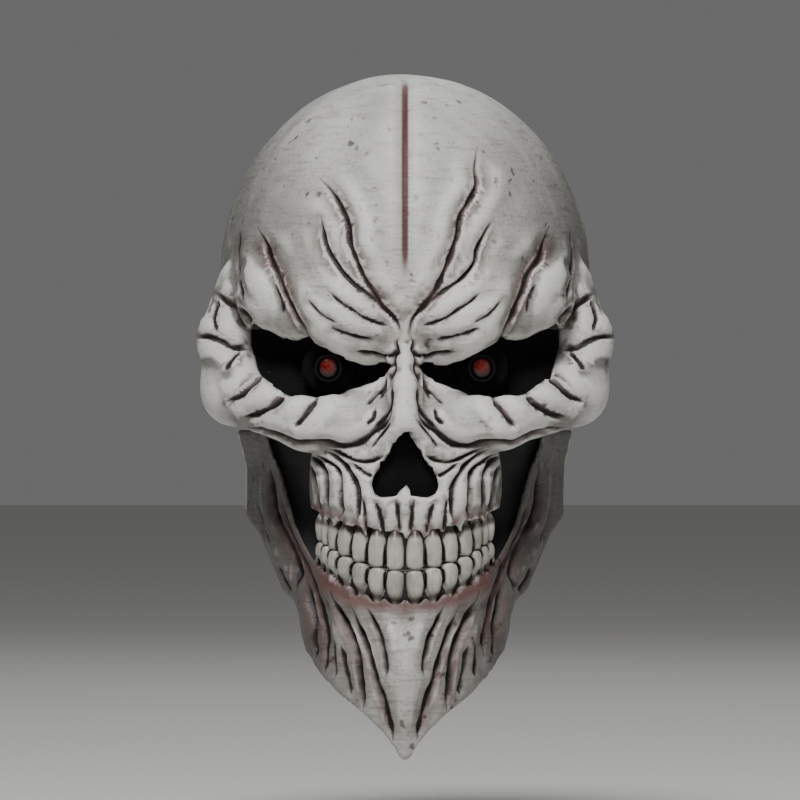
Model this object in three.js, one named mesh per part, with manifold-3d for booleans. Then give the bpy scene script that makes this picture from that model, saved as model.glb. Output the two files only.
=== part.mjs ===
// A moving-jaw skull mask for fancy dress: a slush-cast latex skull worn over the head, a separate
// latex jaw on a sprung yoke, cast resin teeth, gauze screens behind the openings, foam fit pads and
// a back slit closed by two hook-and-loop tabs.
// Millimetres. +Z is up, the face looks along -Y, and the mask is symmetric about X = 0. The origin is
// the middle of the crown pad's flat underside, where the top of the wearer's head rests.
import * as THREE from "three";
import { mergeVertices } from "three/addons/utils/BufferGeometryUtils.js";
import Module from "manifold-3d";

const wasm = await Module();
wasm.setup();

// ---- driving dimensions -------------------------------------------------------------------------
const LATEX = 4; // wall of the latex castings
const GAP = 0.4; // space between pieces that touch
const CRANIUM = { centre: [0, 6, -82], radii: [87, 106, 97] };
const PIVOT = { y: -5, z: -131 }; // jaw hinge axis, along X
const ARM_X = 78.4; // middle of the yoke's end at the pivot
const YOKE = { width: 13, thick: 2.4 };
const SCREW = { shank: 2.3, hole: 2.7, head: 5, headThick: 1.4 };
const BLOCK = { inner: 80.4, tip: 83.6, long: 22, tall: 9 };
const ARCH = { half: 43.5, deep: 46, back: -66.5, bite: -215.3, rise: 0.0078 }; // arch of the teeth
const TEETH_HALF = [5.2, 14, 21.8, 28.9, 34.2, 37.6, 40.2]; // tooth centres, middle to molar
const LAMP = { x: 35, z: -123.5, front: -92.5, back: -84.5, radius: 6 };
const BEZEL = { front: -96.4, outer: 6.3, inner: 5.2 };
const SLIT = { half: 1.6, top: -78, relief: 4 };
const TABS = { upper: -104, lower: -136 };
const TAB = { tall: 20, fold: -33, free: 34, root: -46, thick: 1.5, lift: 1.9 };
const JAW = { front: -112, bend: 0.0205, keel: 9 };
const CUP = { centre: [0, -72, -232], radii: [28, 23, 16], wall: 2.5, foam: 6.5 };

// ---- small helpers ------------------------------------------------------------------------------
const SIDES = { left: 1, right: -1 }; // the wearer's left is +X
const clamp = (t) => Math.min(1, Math.max(0, t));
const smooth = (v, from, to) => {
  const t = clamp((v - from) / (to - from));
  return t * t * (3 - 2 * t);
};

const matte = (color, roughness = 0.8, metalness = 0) =>
  new THREE.MeshStandardMaterial({ color, roughness, metalness });
const MATERIALS = {
  latex: matte(0xb9b8b0, 0.55),
  resin: matte(0xa8a898, 0.35),
  gauze: matte(0x0c0c0d, 0.95),
  lens: matte(0xa01008, 0.15),
  foam: matte(0x2c2c2e, 0.95),
  plastic: matte(0x17171a, 0.45),
  fabric: matte(0x1c1c1e, 0.9),
  elastic: matte(0x101012, 0.85),
  steel: matte(0x9a9ca0, 0.35, 1),
};

// A closed three.js geometry as a solid that can be joined and cut.
function solid(geometry) {
  const g = geometry.clone();
  g.deleteAttribute("normal");
  g.deleteAttribute("uv");
  const merged = mergeVertices(g, 1e-3);
  return new wasm.Manifold(
    new wasm.Mesh({
      numProp: 3,
      vertProperties: merged.attributes.position.array,
      triVerts: new Uint32Array(merged.index.array),
    }),
  );
}

// A solid as a three.js geometry again.
function geometryOf(made) {
  const m = made.getMesh();
  return new THREE.BufferGeometry()
    .setAttribute("position", new THREE.BufferAttribute(new Float32Array(m.vertProperties), 3))
    .setIndex(new THREE.BufferAttribute(new Uint32Array(m.triVerts), 1));
}

const mask = new THREE.Group();
function piece(name, made, material) {
  const geometry = made.isBufferGeometry ? made : geometryOf(made);
  geometry.computeVertexNormals();
  const mesh = new THREE.Mesh(geometry, material);
  mesh.name = name;
  mask.add(mesh);
  return mesh;
}

// A box given by its lowest and highest corners.
function block([x0, y0, z0], [x1, y1, z1]) {
  const g = new THREE.BoxGeometry(x1 - x0, y1 - y0, z1 - z0);
  return solid(g.translate((x0 + x1) / 2, (y0 + y1) / 2, (z0 + z1) / 2));
}

// A flat outline pushed through a length: "front" outlines are (x, z) pushed along Y, "side" outlines
// are (y, z) pushed along X.
function prism(points, view, from, to, curved = false) {
  const shape = new THREE.Shape();
  const corners = points.map(([a, b]) => new THREE.Vector2(a, b));
  shape.moveTo(corners[0].x, corners[0].y);
  if (curved) shape.splineThru([...corners.slice(1), corners[0]]);
  else corners.slice(1).forEach((c) => shape.lineTo(c.x, c.y));
  const g = new THREE.ExtrudeGeometry(shape, { depth: to - from, bevelEnabled: false, curveSegments: 3 });
  const axes = { front: [[1, 0, 0], [0, 0, 1], [0, -1, 0]], side: [[0, 1, 0], [0, 0, 1], [1, 0, 0]] };
  const turn = new THREE.Matrix4().makeBasis(...axes[view].map((a) => new THREE.Vector3(...a)));
  g.applyMatrix4(turn);
  return solid(view === "front" ? g.translate(0, to, 0) : g.translate(from, 0, 0));
}

// A round bar from one point to another.
function bar(from, to, radius, sides = 20) {
  const a = new THREE.Vector3(...from);
  const along = new THREE.Vector3(...to).sub(a);
  const g = new THREE.CylinderGeometry(radius, radius, along.length(), sides);
  g.translate(0, along.length() / 2, 0);
  g.applyQuaternion(new THREE.Quaternion().setFromUnitVectors(new THREE.Vector3(0, 1, 0), along.normalize()));
  return solid(g.translate(a.x, a.y, a.z));
}

// A closed skin over a grid of outer points and inner points.
function thickSheet(outer, inner) {
  const rows = outer.length;
  const columns = outer[0].length;
  const position = [...outer.flat(), ...inner.flat()].flatMap((p) => [p.x, p.y, p.z]);
  const at = (side, r, c) => side * rows * columns + r * columns + c;
  const index = [];
  const quad = (a, b, c, d) => index.push(a, b, c, a, c, d);
  for (let r = 0; r < rows - 1; r++)
    for (let c = 0; c < columns - 1; c++) {
      quad(at(0, r, c), at(0, r, c + 1), at(0, r + 1, c + 1), at(0, r + 1, c));
      quad(at(1, r, c), at(1, r + 1, c), at(1, r + 1, c + 1), at(1, r, c + 1));
    }
  for (let c = 0; c < columns - 1; c++) {
    quad(at(0, 0, c), at(1, 0, c), at(1, 0, c + 1), at(0, 0, c + 1));
    quad(at(0, rows - 1, c), at(0, rows - 1, c + 1), at(1, rows - 1, c + 1), at(1, rows - 1, c));
  }
  for (let r = 0; r < rows - 1; r++) {
    quad(at(0, r, 0), at(0, r + 1, 0), at(1, r + 1, 0), at(1, r, 0));
    quad(at(0, r, columns - 1), at(1, r, columns - 1), at(1, r + 1, columns - 1), at(0, r + 1, columns - 1));
  }
  const g = new THREE.BufferGeometry()
    .setAttribute("position", new THREE.Float32BufferAttribute(position, 3))
    .setIndex(index);
  const made = solid(g);
  if (made.volume() > 0) return made;
  for (let i = 0; i < index.length; i += 3) [index[i + 1], index[i + 2]] = [index[i + 2], index[i + 1]];
  g.setIndex(index);
  return solid(g);
}

// A flat strip bent along a line of points, with the direction that each point's thickness faces.
function strip(points, facings, width, thick, steps) {
  const line = new THREE.CatmullRomCurve3(points.map((p) => new THREE.Vector3(...p)));
  const face = new THREE.CatmullRomCurve3(facings.map((p) => new THREE.Vector3(...p)));
  const outer = [];
  const inner = [];
  for (let i = 0; i <= steps; i++) {
    const t = i / steps;
    const at = line.getPoint(t);
    const along = line.getTangent(t);
    const across = new THREE.Vector3().crossVectors(along, face.getPoint(t)).normalize();
    const out = new THREE.Vector3().crossVectors(across, along).normalize();
    const edge = (side, lift) =>
      at.clone().addScaledVector(across, (side * width) / 2).addScaledVector(out, (lift * thick) / 2);
    outer.push([edge(-1, 1), edge(1, 1)]);
    inner.push([edge(-1, -1), edge(1, -1)]);
  }
  return thickSheet(outer, inner);
}

// ---- the skull's form ---------------------------------------------------------------------------
// Rounded masses melted together: [centre, radii] is an ellipsoid, [from, to, radius] is a capsule.
// Each entry off the middle plane has a twin on the other side.
const SKULL_MASSES = [
  [CRANIUM.centre, CRANIUM.radii],
  [[0, -36, -70], [68, 75, 77]], // forehead
  [[24, -86, -99], [29, 25, 21]], // inner brow lobe
  [[56, -66, -92], [21, 25, 21]], // outer brow lobe
  [[20, -92, -147], [48, -84, -147], 12], // cheekbone below the eye
  [[48, -84, -147], [78, -60, -134], 15.5],
  [[78, -60, -134], [84, -50, -109], 15.5], // flare beside the eye
  [[84, -50, -109], [76, -34, -86], 12.5],
  [[78, -56, -131], [80, 14, -130], 13], // cheek arch, over the jaw hinge
  [[0, -97, -112], [0, -108, -148], 9], // nose
  [[0, -66.5, -175], [44.5, 48, 60]], // upper jaw
];
const SOCKETS = [
  [[23, -114, -123], [19, 13, 11]],
  [[52, -101, -118], [21, 15, 13]],
  [[0, -124, -170], [12, 14, 13]],
];
const MELT = 9;

function ellipsoid(p, centre, radii) {
  const q = p.map((v, i) => (v - centre[i]) / radii[i]);
  const k0 = Math.hypot(...q);
  const k1 = Math.hypot(...q.map((v, i) => v / radii[i]));
  return k1 < 1e-9 ? -Math.min(...radii) : (k0 * (k0 - 1)) / k1;
}

function capsule(p, from, to, radius) {
  const along = to.map((v, i) => v - from[i]);
  const rel = p.map((v, i) => v - from[i]);
  const dot = (a, b) => a[0] * b[0] + a[1] * b[1] + a[2] * b[2];
  const t = clamp(dot(rel, along) / dot(along, along));
  return Math.hypot(...rel.map((v, i) => v - along[i] * t)) - radius;
}

const massAt = (p, mass) => (mass.length === 3 ? capsule(p, ...mass) : ellipsoid(p, ...mass));

// Distance to the skull's surface, negative inside. Both halves read the +X masses.
function skullField(x, y, z) {
  const p = [Math.abs(x), y, z];
  let d = 1e3;
  for (const mass of SKULL_MASSES) {
    const e = massAt(p, mass);
    const h = clamp(0.5 + (0.5 * (d - e)) / MELT);
    d = d + (e - d) * h - MELT * h * (1 - h);
  }
  for (const socket of SOCKETS) {
    const e = -massAt(p, socket);
    const h = clamp(0.5 - (0.5 * (d - e)) / 5);
    d = d + (e - d) * h + 5 * h * (1 - h);
  }
  return d;
}

// The skull's surface, sunk by a depth, as a closed solid: a ball whose points are moved out to it.
const HUB = [0, -18, -92];
const COLUMNS = 46;
const ROWS = 32;
const skins = new Map();
function skin(depth) {
  if (skins.has(depth)) return skins.get(depth);
  const ball = new THREE.SphereGeometry(1, COLUMNS, ROWS).rotateX(Math.PI / 2);
  const points = ball.attributes.position;
  const ways = [];
  let reach = [];
  for (let i = 0; i < points.count; i++) {
    const turn = Math.atan2(points.getX(i), -points.getY(i));
    const fall = Math.acos(THREE.MathUtils.clamp(points.getZ(i), -1, 1));
    const a = turn - 0.42 * Math.sin(turn); // closer columns on the face
    const f = fall + 0.14 * Math.sin(2 * fall); // closer rows at the eyes
    const way = [Math.sin(f) * Math.sin(a), -Math.sin(f) * Math.cos(a), Math.cos(f)];
    const at = (r) => skullField(...way.map((v, k) => HUB[k] + v * r)) + depth;
    let far = 180;
    while (at(far) > 0) far -= 1.5;
    let near = far;
    far += 1.5;
    for (let k = 0; k < 12; k++) {
      const mid = (near + far) / 2;
      if (at(mid) > 0) far = mid;
      else near = mid;
    }
    ways.push(way);
    reach.push(near);
  }
  // Each reach moves towards its neighbours', so a steep edge doesn't turn jagged.
  const wide = COLUMNS + 1;
  const eased = reach.map((r, i) => {
    const row = Math.floor(i / wide);
    const column = i % wide;
    if (row === 0 || row === ROWS) return r;
    const west = reach[row * wide + ((column - 1 + COLUMNS) % COLUMNS)];
    const east = reach[row * wide + ((column + 1) % COLUMNS)];
    return 0.4 * r + 0.15 * (west + east + reach[i - wide] + reach[i + wide]);
  });
  reach = eased;
  ways.forEach((way, i) => points.setXYZ(i, ...way.map((v, k) => HUB[k] + v * reach[i])));
  const made = solid(ball);
  skins.set(depth, made);
  return made;
}

// A layer of the skull between two depths, within a region: pads, screens and tabs follow its wall.
const layer = (from, to, region) => skin(from).intersect(region).subtract(skin(to));
const biggest = (made) => made.decompose().sort((a, b) => b.volume() - a.volume())[0];

// ---- skull shell --------------------------------------------------------------------------------
const EYE_OUTLINE = [
  [6, -121.5], [14, -121.5], [26, -119.5], [37, -113.5], [48, -110.8], [60, -106.8], [68, -107],
  [68, -119], [65, -129], [53, -136], [39, -137], [25, -134], [12, -129],
];
const NOSE_OUTLINE = [[0, -153], [8, -164], [14.6, -175.5], [9, -181.6], [0, -176]];
// The shell's lower edge seen from the side: cheek gap, cheek arch, ear notch, nape.
const LOWER_EDGE = [
  [-52, -212], [-50, -168], [-44, -152], [-34, -141], [4, -140], [12, -130], [16, -113], [27, -103],
  [42, -106], [53, -126], [64, -150], [90, -160], [130, -162], [130, -240], [-52, -240],
];
const mirrorX = (points, side) => points.map(([x, z]) => [x * side, z]);
const bothHalves = (points) => [...points, ...mirrorX(points.slice(1, -1).reverse(), -1)];
const noseRing = bothHalves(NOSE_OUTLINE);

const gumUpper = (x) => -198.8 + 0.0052 * x * x;
const gumEdge = [];
for (let i = -8; i <= 8; i++) gumEdge.push([i * 7.5, gumUpper(i * 7.5)]);
const belowGum = prism([...gumEdge, [60, -250], [-60, -250]], "front", -140, -48);

const slitCut = block([-SLIT.half, 40, -200], [SLIT.half, 130, SLIT.top])
  .add(bar([0, 70, SLIT.top], [0, 130, SLIT.top], SLIT.relief, 16));

let skullShell = skin(0).subtract(skin(LATEX)).subtract(prism(LOWER_EDGE, "side", -120, 120));
for (const side of Object.values(SIDES))
  skullShell = skullShell.subtract(prism(mirrorX(EYE_OUTLINE, side), "front", -140, -30, true));
// The yoke's arms pass through the arch's floor on both sides.
for (const side of Object.values(SIDES)) {
  const [x0, x1] = [73 * side, 82.4 * side].sort((a, b) => a - b);
  skullShell = skullShell.subtract(block([x0, -26, -150], [x1, 12, -124]));
}
skullShell = skullShell.subtract(belowGum).subtract(prism(noseRing, "front", -140, -60)).subtract(slitCut);

// ---- screens behind the openings ----------------------------------------------------------------
function grow(points, by) {
  const middle = [0, 1].map((k) => points.reduce((sum, p) => sum + p[k], 0) / points.length);
  return points.map(([x, z]) => {
    const reach = Math.hypot(x - middle[0], z - middle[1]);
    return [x + ((x - middle[0]) * by) / reach, z + ((z - middle[1]) * by) / reach];
  });
}
const screenDepth = LATEX + 1.2;
const noseRegion = prism(grow(noseRing, 5), "front", -140, -60);
piece("nose_screen", biggest(layer(screenDepth, screenDepth + 1.2, noseRegion)), MATERIALS.gauze);

// ---- eye lamps ----------------------------------------------------------------------------------
// Each is a cup with a coin cell and a diode, closed by a twist bezel that holds a red lens.
for (const [name, side] of Object.entries(SIDES)) {
  const x = LAMP.x * side;
  const along = (from, to, radius, sides = 20) => bar([x, from, LAMP.z], [x, to, LAMP.z], radius, sides);
  const region = prism(grow(mirrorX(EYE_OUTLINE, side), 3.2), "front", -140, -40)
    .subtract(block([-4.5, -150, -200], [4.5, 0, 0]))
    .subtract(along(-140, -40, BEZEL.outer + 1));
  piece(`eye_screen_${name}`, biggest(layer(screenDepth, screenDepth + 1.2, region)), MATERIALS.gauze);
  const cup = along(LAMP.front, LAMP.back, LAMP.radius)
    .subtract(along(LAMP.front - 1, LAMP.back - 2.5, BEZEL.inner - 0.2));
  piece(`lamp_housing_${name}`, cup, MATERIALS.plastic);
  piece(`lamp_cell_${name}`, along(LAMP.back - 5.4, LAMP.back - 2.9, BEZEL.inner - 0.7), MATERIALS.steel);
  piece(`lamp_diode_${name}`, along(LAMP.front + 0.3, LAMP.back - 5.8, 1.6, 12), MATERIALS.lens);
  let bezel = along(BEZEL.front, LAMP.front - GAP, BEZEL.outer);
  for (let k = 0; k < 6; k++) {
    const turn = (k * Math.PI) / 3;
    const rib = [x + BEZEL.outer * Math.cos(turn), LAMP.z + BEZEL.outer * Math.sin(turn)];
    bezel = bezel.add(bar([rib[0], BEZEL.front + 0.6, rib[1]], [rib[0], LAMP.front - GAP, rib[1]], 0.45, 8));
  }
  bezel = bezel.subtract(along(BEZEL.front - 1, LAMP.front + 1, BEZEL.inner));
  piece(`lamp_bezel_${name}`, bezel, MATERIALS.plastic);
  const dome = new THREE.SphereGeometry(BEZEL.inner - GAP, 16, 8).scale(1, 0.4, 1);
  piece(`eye_lens_${name}`, solid(dome.translate(x, BEZEL.front + 1.6, LAMP.z)), MATERIALS.lens);
  const foot = block([x - 3.5, -140, -147], [x + 3.5, -83.5, LAMP.z - LAMP.radius - 0.5]);
  piece(`lamp_bracket_${name}`, biggest(layer(LATEX + 3, LATEX + 4.6, foot)), MATERIALS.plastic);
}

// ---- foam fit pads ------------------------------------------------------------------------------
const padDepth = LATEX + 0.6;
const pad = (name, thick, from, to) =>
  piece(name, biggest(layer(padDepth, padDepth + thick, block(from, to))), MATERIALS.foam);
piece("crown_pad", skin(padDepth).intersect(block([-34, -34, 0], [34, 34, 30])), MATERIALS.foam);
pad("forehead_pad", 9, [-44, -140, -82], [44, -40, -44]);
for (const [name, side] of Object.entries(SIDES)) {
  const span = (near, far) => [Math.min(near * side, far * side), Math.max(near * side, far * side)];
  const [t0, t1] = span(55, 110);
  pad(`temple_pad_${name}`, 4.5, [t0, -38, -100], [t1, 14, -64]);
  const [n0, n1] = span(7, 31);
  pad(`nape_pad_${name}`, 4, [n0, 40, -132], [n1, 130, -98]);
}

// ---- back slit and its hook-and-loop tabs -------------------------------------------------------
for (const [name, z] of Object.entries(TABS)) {
  const low = z - TAB.tall / 2;
  const high = z + TAB.tall / 2;
  const outside = -TAB.lift - TAB.thick;
  let base = layer(outside, -0.5, block([TAB.root, 40, low], [TAB.fold - GAP, 140, high]));
  piece(
    `closure_tab_${name}`,
    layer(outside, -TAB.lift, block([TAB.fold + GAP, 40, low], [TAB.free, 140, high])),
    MATERIALS.fabric,
  );
  piece(
    `loop_patch_${name}`,
    layer(-TAB.lift + 0.5, -0.5, block([9, 40, low + 1.5], [TAB.free - 1.5, 140, high - 1.5])),
    MATERIALS.fabric,
  );
  // Two rivets hold each tab's root: the middle of the root, and the way its surface faces.
  [-5.5, 5.5].forEach((step, k) => {
    const seat = new THREE.Vector3(-39.5, 0, z + step);
    const way = new THREE.Vector3(0, 1, 0);
    const q = (v, n) => (v - CRANIUM.centre[n]) / CRANIUM.radii[n];
    seat.y = CRANIUM.centre[1] + CRANIUM.radii[1] * Math.sqrt(1 - q(seat.x, 0) ** 2 - q(seat.z, 2) ** 2);
    way.set(q(seat.x, 0) / 87, q(seat.y, 1) / 106, q(seat.z, 2) / 97).normalize();
    const on = (lift) => seat.clone().addScaledVector(way, lift).toArray();
    const hole = bar(on(-LATEX - 3), on(8), 1.4 + GAP, 10);
    skullShell = skullShell.subtract(hole);
    base = base.subtract(hole);
    const rivet = bar(on(-LATEX - 2), on(TAB.lift + TAB.thick + 0.6), 1.4, 10)
      .add(bar(on(TAB.lift + TAB.thick + 0.5), on(TAB.lift + TAB.thick + 1.7), 3, 12))
      .add(bar(on(-LATEX - 2.6), on(-LATEX - 1.4), 2.6, 12));
    piece(`tab_rivet_${name}_${k + 1}`, rivet, MATERIALS.steel);
  });
  piece(`tab_root_${name}`, base, MATERIALS.fabric);
}
// The shell is modelled in panels that meet face to face where the mould's parts met.
const PARTING = { crown: -34, face: -42 };
const FAR = 200;
const seam = GAP / 2;
const PANELS = {
  shell_crown: block([-FAR, -FAR, PARTING.crown + seam], [FAR, FAR, FAR]),
  shell_face_left: block([seam, -FAR, -FAR], [FAR, PARTING.face - seam, PARTING.crown - seam]),
  shell_face_right: block([-FAR, -FAR, -FAR], [-seam, PARTING.face - seam, PARTING.crown - seam]),
  shell_side_left: block([seam, PARTING.face + seam, -FAR], [FAR, FAR, PARTING.crown - seam]),
  shell_side_right: block([-FAR, PARTING.face + seam, -FAR], [-seam, FAR, PARTING.crown - seam]),
};
const wholeShell = biggest(skullShell);
for (const [name, space] of Object.entries(PANELS)) {
  piece(name, biggest(wholeShell.intersect(space)), MATERIALS.latex);
}

// ---- teeth --------------------------------------------------------------------------------------
const archY = (x) => ARCH.back - ARCH.deep * Math.sqrt(1 - (x / ARCH.half) ** 2);
const archSlope = (x) => Math.atan2(archY(x + 0.2) - archY(x - 0.2), 0.4);
const biteZ = (x) => ARCH.bite + ARCH.rise * x * x;

// One row of teeth on its gum bar. "up" is 1 for the upper row and -1 for the lower.
function teeth(up) {
  const gum = (x) => (up > 0 ? gumUpper(x) - 0.5 : -229.4 + 0.0113 * x * x);
  const centre = (x, inward, z) => {
    const slope = archSlope(x);
    return new THREE.Vector3(x - inward * Math.sin(slope), archY(x) + inward * Math.cos(slope), z);
  };
  const line = [-40.5, -38, -34, -28, -20, -10, 0, 10, 20, 28, 34, 38, 40.5];
  const rim = (x, inward) => gum(x - inward * Math.sin(archSlope(x)));
  const side = (inward) =>
    line.map((x) => [0, 6].map((drop) => centre(x, inward, rim(x, 7.4) - up * drop)));
  let row = thickSheet(side(3.2), side(7.4));
  for (const half of TEETH_HALF)
    for (const x of [half, -half]) {
      const root = up > 0 ? rim(x, 7) : gum(x);
      const tall = Math.abs(root - biteZ(x)) - 0.5 - 0.12 * TEETH_HALF.indexOf(half);
      const g = new THREE.CylinderGeometry(up > 0 ? 0.62 : 1, up > 0 ? 1 : 0.62, tall, 8);
      g.scale(3.6 - 0.1 * TEETH_HALF.indexOf(half), 1, 3.2).rotateX(Math.PI / 2).rotateZ(archSlope(x));
      const at = centre(x, 3.2, root - (up * tall) / 2);
      row = row.add(solid(g.translate(at.x, at.y, at.z)));
    }
  return row;
}
piece("upper_teeth", teeth(1), MATERIALS.resin);
piece("lower_teeth", teeth(-1), MATERIALS.resin);

// ---- jaw shell ----------------------------------------------------------------------------------
// The jaw is a bent plate: y as a function of x and z, with a keel down the chin.
const jawWiden = (z) => 1 + 0.05 * smooth(z, -172, -152);
const jawKeel = (x, z) =>
  JAW.keel * smooth(z, -228, -262) * (1 - 0.5 * smooth(z, -282, -302)) * Math.exp(-Math.abs(x) / 11);
const jawY = (x, z) => JAW.front + JAW.bend * (x / jawWiden(z)) ** 2 - jawKeel(x, z);
function jawPoint(x, z, inward = 0) {
  const e = 0.5;
  const out = new THREE.Vector3(
    (jawY(x + e, z) - jawY(x - e, z)) / (2 * e),
    -1,
    (jawY(x, z + e) - jawY(x, z - e)) / (2 * e),
  ).normalize();
  return { out, at: new THREE.Vector3(x, jawY(x, z), z).addScaledVector(out, -inward) };
}
const JAW_FRONT_EDGE = [
  [0, -231], [22, -228.5], [34, -221], [42, -211.5], [47, -203], [51, -194], [54, -182], [57, -172],
  [63, -158],
];
const JAW_OUTLINE = [
  ...JAW_FRONT_EDGE,
  [64, -152], [100, -152], [100, -191], [74.5, -191], [67.6, -201.6], [61.8, -214.5], [56.6, -226],
  [51, -230.7], [48, -242], [45.6, -253], [36, -262], [28, -271], [19, -280], [10.4, -288], [3, -298],
  [0, -301.5],
];
const outerGrid = [];
const innerGrid = [];
for (let r = 0; r <= 15; r++) {
  const z = -303 + (r / 15) * 153;
  const columns = [];
  for (let c = -14; c <= 14; c++) columns.push(84 * Math.sign(c) * Math.abs(c / 14) ** 1.15);
  outerGrid.push(columns.map((x) => jawPoint(x, z).at));
  innerGrid.push(columns.map((x) => jawPoint(x, z, LATEX).at));
}
const jawRear = block([-120, 4, -320], [120, 60, -120]);
const jawPrism = prism(bothHalves(JAW_OUTLINE), "front", -140, 60);
const jawPlate = thickSheet(outerGrid, innerGrid).intersect(jawPrism);
piece("jaw_shell", biggest(jawPlate.subtract(jawRear)), MATERIALS.latex);

// ---- jaw yoke -----------------------------------------------------------------------------------
// The yoke is a bent strip from pivot to pivot, inside the latex jaw and under the chin cup.
const YOKE_LINE = [[68, -174], [65, -188], [59, -204], [50, -218], [40, -228], [30, -234]];
const inset = LATEX + 0.9 + YOKE.thick / 2;
const yokeHalf = [
  { at: new THREE.Vector3(ARM_X, PIVOT.y, PIVOT.z + 7), out: new THREE.Vector3(1, 0, 0) },
  { at: new THREE.Vector3(ARM_X, PIVOT.y, PIVOT.z), out: new THREE.Vector3(1, 0, 0) },
  { at: new THREE.Vector3(ARM_X - 0.1, PIVOT.y, PIVOT.z - 7), out: new THREE.Vector3(1, 0, 0) },
  { at: new THREE.Vector3(73, -5.5, -146), out: new THREE.Vector3(1, -0.2, -0.2) },
  { at: new THREE.Vector3(67, -7.5, -154), out: new THREE.Vector3(1, -0.36, -0.2) },
  { at: new THREE.Vector3(65.2, -10, -163), out: new THREE.Vector3(1, -0.36, 0) },
  ...YOKE_LINE.map(([x, z]) => jawPoint(x, z, inset)),
  { at: new THREE.Vector3(12, -96.4, -236.5), out: new THREE.Vector3(0.25, -1, 0) },
];
const chinMiddle = { at: new THREE.Vector3(0, -97.6, -237), out: new THREE.Vector3(0, -1, 0) };
const flip = (v) => [-v.x, v.y, v.z];
const ends = (key) => [
  ...yokeHalf.map((s) => s[key].toArray()),
  chinMiddle[key].toArray(),
  ...yokeHalf.toReversed().map((s) => flip(s[key])),
];
let yoke = strip(ends("at"), ends("out"), YOKE.width, YOKE.thick, 56);
yoke = yoke.subtract(bar([-100, PIVOT.y, PIVOT.z], [100, PIVOT.y, PIVOT.z], SCREW.hole, 20));

// ---- chin cup -----------------------------------------------------------------------------------
const bowl = (shrink) =>
  solid(
    new THREE.SphereGeometry(1, 18, 11).scale(...CUP.radii.map((r) => r - shrink)).translate(...CUP.centre),
  );
const cupOpening = prism(
  [[-110, -226], [-74, -226], [-52, -236], [-30, -262], [-30, -200], [-110, -200]], "side", -60, 60,
);
let chinCup = bowl(0).subtract(bowl(CUP.wall)).subtract(cupOpening);
let chinPad = bowl(CUP.wall + GAP).subtract(bowl(CUP.wall + CUP.foam)).subtract(cupOpening);
for (const [name, side] of Object.entries(SIDES)) {
  const x = 11 * side;
  const z = -236.5;
  const seat = -88.6; // inside face of the cup at the screw
  const along = (from, to, radius) => bar([x, from, z], [x, to, z], radius, 12);
  chinCup = chinCup.subtract(along(-110, -80, 1.4 + GAP)).subtract(along(seat - 0.2, -70, 3 + GAP));
  yoke = yoke.subtract(along(-110, -90, 1.4 + GAP));
  chinPad = chinPad.subtract(along(-110, seat + 1.8, 3 + GAP));
  piece(`cup_screw_${name}`, along(-98.2, seat + 0.1, 1.4).add(along(seat, seat + 1.4, 3)), MATERIALS.steel);
}
piece("jaw_yoke", yoke, MATERIALS.plastic);
piece("chin_cup", chinCup, MATERIALS.plastic);
piece("chin_pad", biggest(chinPad), MATERIALS.foam);

// ---- jaw hinges, closing elastics and cheek gussets ---------------------------------------------
for (const [name, side] of Object.entries(SIDES)) {
  const at = (x) => [x * side, PIVOT.y, PIVOT.z];
  const xs = [BLOCK.inner * side, 100 * side].sort((a, b) => a - b);
  const half = [BLOCK.long / 2, BLOCK.tall / 2];
  const hingeBlock = block(
    [xs[0], PIVOT.y - half[0], PIVOT.z - half[1]], [xs[1], PIVOT.y + half[0], PIVOT.z + half[1]],
  ).intersect(skin(LATEX + 0.5)).subtract(bar(at(70), at(BLOCK.tip + 0.4), SCREW.hole, 20));
  piece(`hinge_block_${name}`, hingeBlock, MATERIALS.plastic);
  const neck = ARM_X - YOKE.thick / 2 - GAP;
  const screw = bar(at(neck - 0.1), at(BLOCK.tip), SCREW.shank, 20)
    .add(bar(at(neck - SCREW.headThick), at(neck), SCREW.head, 20));
  piece(`jaw_screw_${name}`, screw, MATERIALS.steel);

  const elastic = [[30.6, -49, -165], [36.4, -40.5, -176], [45, -38.5, -189], [51.6, -34.8, -202]];
  const faces = elastic.map(() => [side, -0.6, 0]);
  piece(
    `jaw_elastic_${name}`,
    strip(elastic.map(([x, y, z]) => [x * side, y, z]), faces, 6, 1.2, 8),
    MATERIALS.elastic,
  );

  const front = [];
  const rear = [];
  for (let i = 0; i <= 8; i++) {
    const z = -161 - 3.9 * i;
    const seam = new THREE.Vector3(33, -52.5, z);
    const heel = new THREE.Vector3(36.6, -44.8, z);
    const edge = jawPoint(63 - i, z - 2, LATEX + 1.5).at;
    const facing = new THREE.Vector3().subVectors(edge, seam).cross(new THREE.Vector3(0, 0, -1)).normalize();
    const row = (lift) =>
      [seam, heel, heel.clone().lerp(edge, 0.5), edge].map((point) => {
        const p = point.clone().addScaledVector(facing, lift);
        return new THREE.Vector3(p.x * side, p.y, p.z);
      });
    front.push(row(0.4));
    rear.push(row(-0.4));
  }
  piece(`cheek_gusset_${name}`, thickSheet(front, rear), MATERIALS.fabric);
}

export default mask;
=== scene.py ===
import math

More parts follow.
